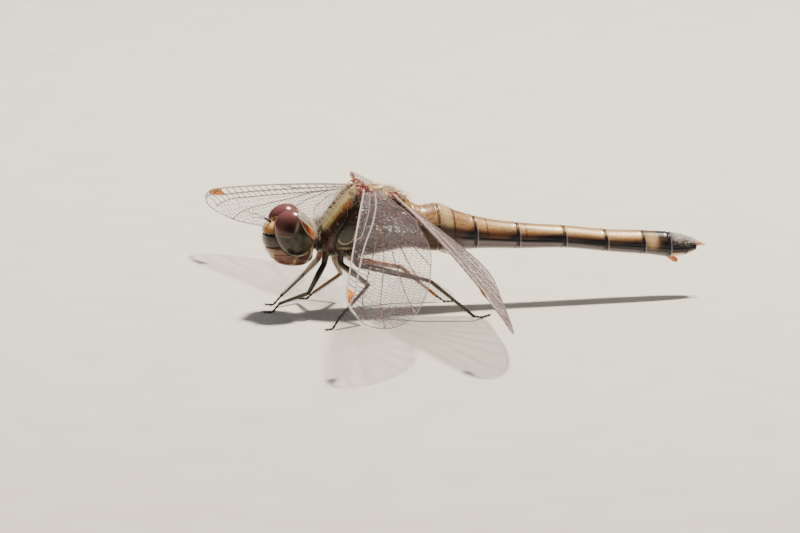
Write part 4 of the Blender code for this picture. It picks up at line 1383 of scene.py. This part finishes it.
class DARTER_OT_wings(bpy.types.Operator):
    """Four wings: pleated film, long veins, a net of cells and the stigma"""

    bl_idname = "darter.wings"
    bl_label = "Wings"

    def execute(self, context):
        sizes, tints = context.scene.darter_sizes, context.scene.darter_colours
        film, vein, stigma = membrane_material(tints), vein_material(tints), stigma_material(tints)
        for index, name in enumerate(WING_POSES):
            wing = wing_table(name)
            self.add_film(name, wing, sizes.film / 2, film)
            self.add_veins(name, wing, sizes, 11 + index // 2, vein)
            self.add_stigma(name, wing, stigma)
        return {"FINISHED"}

    def add_film(self, name, wing, half, material):
        """The clear sheet between the front edge and the hind margin."""
        place, front_edge, rear_edge, _ = wing
        s = (1 - np.cos(np.linspace(0, math.pi, 140)))[:, None] / 2 * np.ones((1, 60))
        t = np.linspace(0, 1, 60)[None, :] * np.ones((140, 1))
        front, rear = front_edge(s), rear_edge(s)
        middle, lift = place(s, front + (rear - front) * t)
        # Amber stains the wing base, more on the hindwings; the left hindwing is milkier.
        fields = {
            "amber": bump(s, 0.06) * bump(t - 0.4, 0.4) * (1.0 if name.startswith("hind") else 0.4),
            # how many painted glints each part of the film gets
            "glitter": 0.45 + 0.55 * ramp(-s, -0.60, -0.35),
            "veil": 0.18 * ramp(-s, -0.50, -0.10) + 0.5 * (name == "hindwing_left"),
        }
        add_piece(f"{name}_film", closed_sheet(middle, lift, half), material, [name],
                  with_poles(both_faces(fields)))

    def add_stigma(self, name, wing, material):
        """The thick coloured cell between the front edge and the radius near the tip.  Half
        its thickness is 0.05 mm, plus 0.10 mm times a half sine each way."""
        place, front_edge, _, _ = wing
        radius = next(np.array(row[1]) for row in VEINS[name.split("_")[0]] if row[0] == "radius")
        s = np.linspace(*STIGMA, 24)[:, None] * np.ones((1, 10))
        front, rear = front_edge(s), smooth_curve(*radius.T, s)
        t = np.linspace(0.06, 0.94, 10)[None, :]
        middle, lift = place(s, front + (rear - front) * t)
        swell = 0.05 + 0.10 * np.sin(math.pi * t) * np.sin(math.pi * np.linspace(0, 1, 24))[:, None]
        add_piece(f"{name}_stigma", closed_sheet(middle, lift, swell[..., None]), material)

    def add_veins(self, name, wing, sizes, seed, material):
        """Leading edge, hind margin, long veins and cross veins as pipes, and the net as rods."""
        place, front_edge, rear_edge, _ = wing
        veins = VEINS[name.split("_")[0]]
        pipes, lead = [], []

        def run(shares, distances, radius, colour=0.0):
            """A vein through the given shares and distances, ended at the margin."""
            keep = (distances <= rear_edge(shares)) & (distances >= front_edge(shares) - 1e-6)
            if keep.sum() > 1:
                line, up = place(shares[keep], distances[keep])
                pipes.append(pipe(line, radius * sizes.vein, up))
                lead.append(np.full(len(pipes[-1][0]), colour))

        fine, tip = np.linspace(0, 1, 260), np.ones(20)
        run(fine, front_edge(fine), 1.9 - 0.8 * fine, 1.0)
        run(fine, rear_edge(fine), 0.8, 0.3)
        run(tip, np.linspace(front_edge(tip)[0], rear_edge(tip)[0], 20), 0.8)
        curves = {}
        for vein_name, knots, scale in veins:
            knots = np.array(knots)
            shares = np.linspace(knots[0, 0], knots[-1, 0], 160)
            curves[vein_name] = (shares, smooth_curve(*knots.T, shares))
            run(*curves[vein_name], scale, LEADING_VEINS.get(vein_name, 0.0))

        nodus = veins[0][1][-1][0]          # where the subcosta meets the front edge
        crossings = np.concatenate([np.linspace(0.05, nodus, 9), np.linspace(nodus + 0.05, STIGMA[0], 9),
                                    (STIGMA[1], 0.945, 0.965, 0.98)])
        for share in crossings:
            start = front_edge(np.array([share]))[0]
            reach = max(np.interp(share, *curves["radius"]), start + 0.02)
            run(np.full(6, share), np.linspace(start, reach, 6), 0.7)
        for share in np.linspace(0.14, 0.95, 26):
            top, low = np.interp(share, *curves["radius"]), np.interp(share, *curves["radial_branch"])
            run(np.full(6, share), np.linspace(top, low, 6), 0.6)

        net = self.net_rods(wing, curves, sizes, seed)
        lead.append(np.full(len(net[0]), 0.45 * (name == "hindwing_left")))
        add_piece(f"{name}_veins", joined(pipes + [net]), material, (),
                  {"lead": np.concatenate(lead)})

    def net_rods(self, wing, curves, sizes, seed):
        """The net's edges as rods, held between the hind margin and the radial branch, or
        the radius in the first 0.12 of the span."""
        place, front_edge, rear_edge, length = wing
        ends = wing_net(length, front_edge, rear_edge, sizes.cell, seed)
        shares = [np.clip(end[:, 0] / length, 0, 1) for end in ends]
        highs = [np.where(share > 0.12, np.interp(share, *curves["radial_branch"]),
                          np.interp(share, *curves["radius"])) for share in shares]
        lows = [rear_edge(share) for share in shares]
        keep = np.zeros(len(ends[0]), bool)
        for end, high, low in zip(ends, highs, lows):
            keep |= (end[:, 1] < low) & (end[:, 1] > high)
        for end in ends:
            keep &= (end[:, 0] > 0) & (end[:, 0] < length)
        (starts, up), (stops, _) = (place(share[keep], np.clip(end[:, 1], high, low)[keep])
                                    for end, share, high, low in zip(ends, shares, highs, lows))
        long_enough = np.linalg.norm(stops - starts, axis=1) > 1e-3
        return rods(starts[long_enough], stops[long_enough], sizes.vein * 0.42, up[long_enough])


class DARTER_OT_roots(bpy.types.Operator):
    """The knuckled hinge plates at the wings' roots"""

    bl_idname = "darter.roots"
    bl_label = "Wing roots"

    def execute(self, context):
        material = root_material(context.scene.darter_colours)
        rng = np.random.default_rng(5)
        knobs, pale = [], []
        for hinge, number, spread in KNUCKLES:
            for _ in range(number):
                middle = np.array(hinge) + rng.uniform(-1, 1, 3) * spread
                radii = (rng.uniform(0.14, 0.38), rng.uniform(0.08, 0.20), rng.uniform(0.07, 0.16))
                knobs.append(globe(middle, radii, rng.uniform(2.0, 2.8), rng.uniform(-60, 60), 12, 16))
                pale.append(0.55 * (rng.uniform() < 0.15))
        for middle, radii, lean in ROOT_PLATES:
            knobs.append(globe(middle, radii, 2.3, lean, 18, 26))
            pale.append(0.9)
        both = joined(knobs)
        cream = np.concatenate([np.full(len(knob[0]), share) for knob, share in zip(knobs, pale)])
        for name, part in (("left", mirrored(both)), ("right", both)):
            add_piece(f"wing_root_{name}", part, material, (), {"pale": cream})
        return {"FINISHED"}


# ------------------------------------------------------------------- the legs

class DARTER_OT_legs(bpy.types.Operator):
    """Six legs, each a thigh, shin and foot with spines and claws"""

    bl_idname = "darter.legs"
    bl_label = "Legs"

    def execute(self, context):
        sizes, material = context.scene.darter_sizes, leg_material(context.scene.darter_colours)
        for name, path in LEG_PATHS.items():
            path = np.array(path)
            path[3:, 2] = np.maximum(path[3:, 2], TARSUS_RADIUS)
            path[4:, 2] = TARSUS_RADIUS
            pale, thigh, shin = LEG_LOOKS[name]
            self.add_part(name + "_femur", path[:3], FEMUR_RADII, 0.22, pale * 0.8, thigh, material)
            self.add_part(name + "_tibia", path[2:4], TIBIA_RADII, sizes.spine, pale, shin, material)
            self.add_part(name + "_tarsus", path[3:], TARSUS_RADII, 0.2, 0.0, 0.0, material)
        return {"FINISHED"}

    def add_part(self, name, path, profile, spine, pale, warm, material):
        """One length of leg: rings along its path, rows of spines, and claws on a foot.

        A foot's radius swells by 0.018 mm times a cosine of four turns.  The pale stripe
        lies 0.35 radians off the outer side and fades where the cosine of the turn away
        from its middle falls from 0.95 to 0.80.  About the first fifth of a thigh is its
        hip, which has no stripe.
        """
        rows, sides = 48, 20
        on_right = "right" in name
        stations = np.linspace(0, 1, rows)
        radii = smooth_curve(np.linspace(0, 1, len(profile)), profile, stations)
        if name.endswith("tarsus"):
            radii = radii + 0.018 * np.cos(2 * math.pi * stations * 4)
        rings, *axes = limb_rings(path, stations, radii, sides)
        rings[..., 2] = np.maximum(rings[..., 2], 0.0)
        parts = [closed_tube(rings)] + self.spines(stations, axes, spine)
        if name.endswith("tarsus"):
            parts += self.claws(path[-1], axes)
        facing = np.sign(axes[2][:, 1]) * (1 if on_right else -1)    # of the outer side
        angle = 2 * math.pi * np.arange(sides) / sides
        toward = np.cos(angle - 0.35)[None, :] * facing[:, None]
        band = ramp(toward, 0.80, 0.95) * pale * ramp(-stations, -0.97, -0.90)[:, None]
        glow = np.full((rows, sides), float(warm))
        if name.endswith("femur"):
            hip = ramp(-stations, -0.26, -0.16)[:, None]
            band = band * (1 - hip)
            glow = glow * (1 - ramp(stations, 0.86, 0.94))[:, None] + (0.45 if on_right else 0.12) * hip
        part = joined(parts)
        rest = np.zeros(len(part[0]) - rows * sides)
        add_piece(name + "_shell", part, material, [name], {
            "stripe": np.append(np.clip(band, 0, 1), rest), "warm": np.append(np.clip(glow, 0, 1), rest)})

    def spines(self, stations, axes, length):
        """Four rows of spines: two below the leg, and two above it at 0.6 of their length.

        A row turned by the angle a about the leg points along out = side * sin(a) - over *
        cos(a), and its spines lean along 0.8 * out + 0.62 * along.  They grow shorter by 0.3
        of their length towards the leg's end.
        """
        share = np.linspace(0.08, 0.95, 12)
        middle, along, side, over = (
            np.stack([np.interp(share, stations, axis[:, i]) for i in range(3)], -1) for axis in axes)
        made = []
        for turn, part in ((-0.9, 1.0), (0.9, 1.0), (-2.1, 0.6), (2.1, 0.6)):
            out = math.cos(turn) * -over + math.sin(turn) * side
            row = bristles(middle, unit(out * 0.8 + along * 0.62), length * part * (1 - 0.3 * share),
                           0.042 if length > 0.3 else 0.018)
            row[0][:, 2] = np.maximum(row[0][:, 2], 0.005)
            made.append(row)
        return made

    def claws(self, toe, axes):
        """Two claws at the end of a foot, spread sideways and bent down to the floor."""
        _, along, side, _ = axes
        made = []
        for turn in (-1, 1):
            lean = unit(along[-1:] * 0.8 + side[-1:] * 0.5 * turn + np.array([[0, 0, 0.35]]))
            claw = bristles(toe[None], lean, [0.42], 0.045, droop=0.35, steps=5)
            claw[0][:, 2] = np.maximum(claw[0][:, 2], 0.01)
            made.append(claw)
        return made


# ------------------------------------------------------------------- the hair

def scatter(rings, count, rng, wanted):
    """Random roots on a ring lattice, kept where wanted says, with their outward
    directions, their direction along the body and their places on its unwrap."""
    rows, columns = rings.shape[:2]
    i = rng.uniform(0, rows - 1.001, count)
    j = rng.uniform(0, columns, count)
    low_i, low_j = i.astype(int), j.astype(int)
    across = (low_j + 1) % columns
    fi, fj = (i - low_i)[:, None], (j - low_j)[:, None]

    def between(values):
        """Values at the roots, bilinear between the four lattice points round each."""
        near = values[low_i, low_j] * (1 - fj) + values[low_i, across] * fj
        far = values[low_i + 1, low_j] * (1 - fj) + values[low_i + 1, across] * fj
        return near * (1 - fi) + far * fi

    roots, outward = between(rings), unit(between(ring_normals(rings)))
    keep = rng.uniform(0, 1, count) < wanted(*roots.T)
    along = unit(between(np.gradient(rings, axis=0)))
    places = np.stack([i / rows, j / columns], -1)
    return roots[keep], outward[keep], along[keep], places[keep]


class DARTER_OT_hair(bpy.types.Operator):
    """Fine hairs on the thorax, the head, the front of the abdomen and its tip"""

    bl_idname = "darter.hair"
    bl_label = "Hair"

    def execute(self, context):
        sizes, tints = context.scene.darter_sizes, context.scene.darter_colours
        cream = hair_material("setae_silky_cream", tints.hair, "#D6C9AC")
        dark = hair_material("setae_stiff_brown", "#4A3526", "#17110D")
        self.rng = np.random.default_rng(7)
        thorax, abdomen, collar, head = (
            body_surface(table, np.linspace(low, high, rows), 120, *shape)[0]
            for table, low, high, rows, shape in (
                (THORAX, -4.0, 4.0, 120, THORAX_RING), (ABDOMEN, 4.0, 29.4, 300, ABDOMEN_RING),
                (PROTHORAX, -4.8, -4.1, 30, COLLAR_RING), (HEAD, -8.8, -4.95, 100, HEAD_RING)))
        length, radius, count = sizes.hair_length, sizes.hair_radius, sizes.hair_count
        self.grow("thorax_hair", thorax, count, lambda x, y, z: 0.06 + 0.94 * ramp(z, 9.2, 10.2),
                  length, radius * 0.8, cream, "thorax_cuticle", 0.30)
        self.grow("thorax_front_hair", thorax, count,
                  lambda x, y, z: ramp(-x, 1.6, 3.0) * ramp(z, 7.2, 8.4) * ramp(-np.abs(y), -1.5, -0.7),
                  length * 1.25, radius * 0.6, cream, "thorax_cuticle", -0.25)
        self.grow("thorax_belly_hair", thorax, 900, lambda x, y, z: ramp(-z, -6.2, -5.4),
                  length * 0.6, radius, cream, "thorax_cuticle", 0.2)
        self.grow("abdomen_hair", abdomen, 9000, lambda x, y, z: ramp(-x, -7.2, -5.0) * ramp(z, 6.6, 8.2),
                  0.85, radius * 0.8, cream, "abdomen_cuticle", 0.8)
        self.grow("tail_hair", abdomen, 22000, lambda x, y, z: ramp(x, 26.9, 27.8) * ramp(z, 4.4, 5.0),
                  0.60, radius * 1.1, cream, "abdomen_cuticle", 2.6)
        self.grow("abdomen_bristles", abdomen, 3600, lambda x, y, z: 0.6,
                  0.15, radius, dark, "abdomen_cuticle", 1.4)
        self.grow("collar_hair", collar, 1100, lambda x, y, z: ramp(z, 6.2, 7.4),
                  1.15, radius * 0.9, cream, "thorax_cuticle", -0.1)
        self.grow("nape_hair", head, 7000, lambda x, y, z: ramp(x, -5.9, -5.2) * ramp(z, 6.3, 7.4),
                  0.85, radius * 0.9, cream, "head_capsule", 0.9)
        self.add_face_hair(radius * 0.5, cream)
        return {"FINISHED"}

    def grow(self, name, rings, count, wanted, length, radius, material, slot, lie):
        """Scatter a number of hairs on rings of the body and keep those that are wanted.

        A hair points along outward + along * lie plus a normal random part with a spread of
        0.30.  It is 0.4 to 1 times as long as the length given, or as the room that is left
        up to HAIR_ABOVE over the highest solid, where that is less.
        """
        roots, outward, along, places = scatter(rings, count, self.rng, wanted)
        lean = unit(outward + along * lie + self.rng.normal(0, 0.30, roots.shape))
        room = (CAD_BOX[1][2] / MM + HAIR_ABOVE - roots[:, 2]) / np.maximum(lean[:, 2], 0.2)
        lengths = np.minimum(length, room) * self.rng.uniform(0.40, 1.0, len(roots))
        part = bristles(roots - outward * 0.08, lean, lengths, radius, droop=0.10)
        add_piece(name, part, material, patch=patch_map(places))

    def add_face_hair(self, radius, material):
        """Short pale hairs on the face, ten times as dense along its middle as at its sides."""
        rings = np.concatenate([face_rings(*FACE_PLATES[key]) for key in ("labrum", "clypeus", "frons")])
        roots, outward, along, places = scatter(
            rings, 5200, self.rng,
            lambda x, y, z: ramp(-x, 7.4, 8.1) * (0.10 + 0.90 * (1 - ramp(np.abs(y), 0.25, 0.75))))
        lean = unit(outward - along * 0.1 + self.rng.normal(0, 0.25, roots.shape))
        lengths = 0.42 * self.rng.uniform(0.35, 1.0, len(roots))
        part = bristles(roots - outward * 0.03, lean, lengths, radius, droop=0.05)
        add_piece("face_hair", part, material, patch=patch_map(places))


# ------------------------------------------------------------------ the stage

class DARTER_OT_stage(bpy.types.Operator):
    """Pale floor with a curved back, soft lights and the camera"""

    bl_idname = "darter.stage"
    bl_label = "Stage"

    def execute(self, context):
        self.add_floor(context.scene)
        self.add_lights(context.scene)
        self.add_camera(context.scene)
        return {"FINISHED"}

    def add_floor(self, scene):
        """A sheet 6 m wide that runs back, turns up on a quarter circle and rises upright."""
        # Matt paper roll: pale warm grey with a faint fibre.
        material, tree, shader = new_material("paper_matt_grey", Roughness=0.85, IOR=1.45)
        finish(tree, shader, scene.darter_colours.floor, [("#BDBAB2", grain(tree, 6.0))])
        start, bend, radius, top = -1.5, 0.55, 0.5, 2.5          # metres
        turn = np.linspace(0, 1, 60) * math.pi / 2
        back = np.concatenate([np.linspace(start, bend, 30), bend + radius * np.sin(turn),
                               [bend + radius]])
        rise = np.concatenate([np.zeros(30), radius * (1 - np.cos(turn)), [top]])
        points = np.stack([np.stack([np.full(len(back), x), back, rise], -1) for x in (-3.0, 3.0)], 1)
        i = 2 * np.arange(len(back) - 1)
        faces = np.stack([i, i + 1, i + 3, i + 2], -1)
        mesh = bpy.data.meshes.new("studio_floor")
        mesh.from_pydata(points.reshape(-1, 3).tolist(), [], faces.tolist())
        mesh.polygons.foreach_set("use_smooth", np.ones(len(faces), bool))
        mesh.materials.append(material)
        floor = bpy.data.objects.new("studio_floor", mesh)
        scene.collection.objects.link(floor)

    def add_lights(self, scene):
        """Square lamps that face the animal, and an even light from all round."""
        for name, place, size, power, colour, gleams in LIGHTS:
            light = bpy.data.lights.new(name, "AREA")
            light.size = size
            light.energy = power
            light.color = linear(colour)[:3]
            lamp = bpy.data.objects.new(name, light)
            lamp.location = place
            lamp.visible_glossy = gleams
            lamp.rotation_euler = (-Vector(place)).to_track_quat("-Z", "Y").to_euler()
            scene.collection.objects.link(lamp)
        scene.world = bpy.data.worlds.new("studio_air")
        scene.world.use_nodes = True
        air = scene.world.node_tree.nodes["Background"]
        air.inputs["Color"].default_value = linear(AIR_COLOUR)
        air.inputs["Strength"].default_value = AIR_STRENGTH

    def add_camera(self, scene):
        """A long lens to the left of the animal, a little in front of it and above it."""
        turn, rise = math.radians(CAMERA_TURN), math.radians(CAMERA_RISE)
        back = np.array([math.sin(turn) * math.cos(rise), -math.cos(turn) * math.cos(rise),
                         math.sin(rise)])
        right = np.array([math.cos(turn), math.sin(turn), 0.0])
        spot = right * LOOK_RIGHT + np.cross(back, right) * LOOK_UP + back * CAMERA_FAR
        data = bpy.data.cameras.new("camera")
        data.lens, data.sensor_width = CAMERA_LENS, SENSOR_WIDTH
        data.clip_start, data.clip_end = 0.01, 20.0
        camera = bpy.data.objects.new("camera", data)
        camera.location = Vector(spot * MM + ORIGIN)
        camera.rotation_euler = Vector(-back).to_track_quat("-Z", "Y").to_euler()
        scene.collection.objects.link(camera)
        scene.camera = camera


class DARTER_PT_panel(bpy.types.Panel):
    """Lists the settings, then the pieces in the order in which they are made"""

    bl_label = "Common darter"
    bl_idname = "DARTER_PT_panel"
    bl_space_type = "VIEW_3D"
    bl_region_type = "UI"
    bl_category = "Darter"

    def draw(self, context):
        layout = self.layout
        for group in (context.scene.darter_sizes, context.scene.darter_colours):
            for key in group.__annotations__:
                layout.prop(group, key)
        for step in STEPS:
            layout.operator(step.bl_idname)


STEPS = (
    DARTER_OT_head, DARTER_OT_eyes, DARTER_OT_antennae, DARTER_OT_thorax, DARTER_OT_abdomen,
    DARTER_OT_tail, DARTER_OT_wings, DARTER_OT_roots, DARTER_OT_legs, DARTER_OT_hair, DARTER_OT_stage,
)
CLASSES = (DarterSizes, DarterColours, DARTER_PT_panel) + STEPS


def register():
    """Make the classes and the scene's settings known."""
    for cls in CLASSES:
        bpy.utils.register_class(cls)
    bpy.types.Scene.darter_sizes = PointerProperty(type=DarterSizes)
    bpy.types.Scene.darter_colours = PointerProperty(type=DarterColours)


def unregister():
    """Take them away again."""
    del bpy.types.Scene.darter_colours
    del bpy.types.Scene.darter_sizes
    for cls in reversed(CLASSES):
        bpy.utils.unregister_class(cls)


def main():
    """Make every piece in order."""
    register()
    for step in STEPS:
        group, action = step.bl_idname.split(".")
        getattr(getattr(bpy.ops, group), action)()


if __name__ == "__main__":
    main()
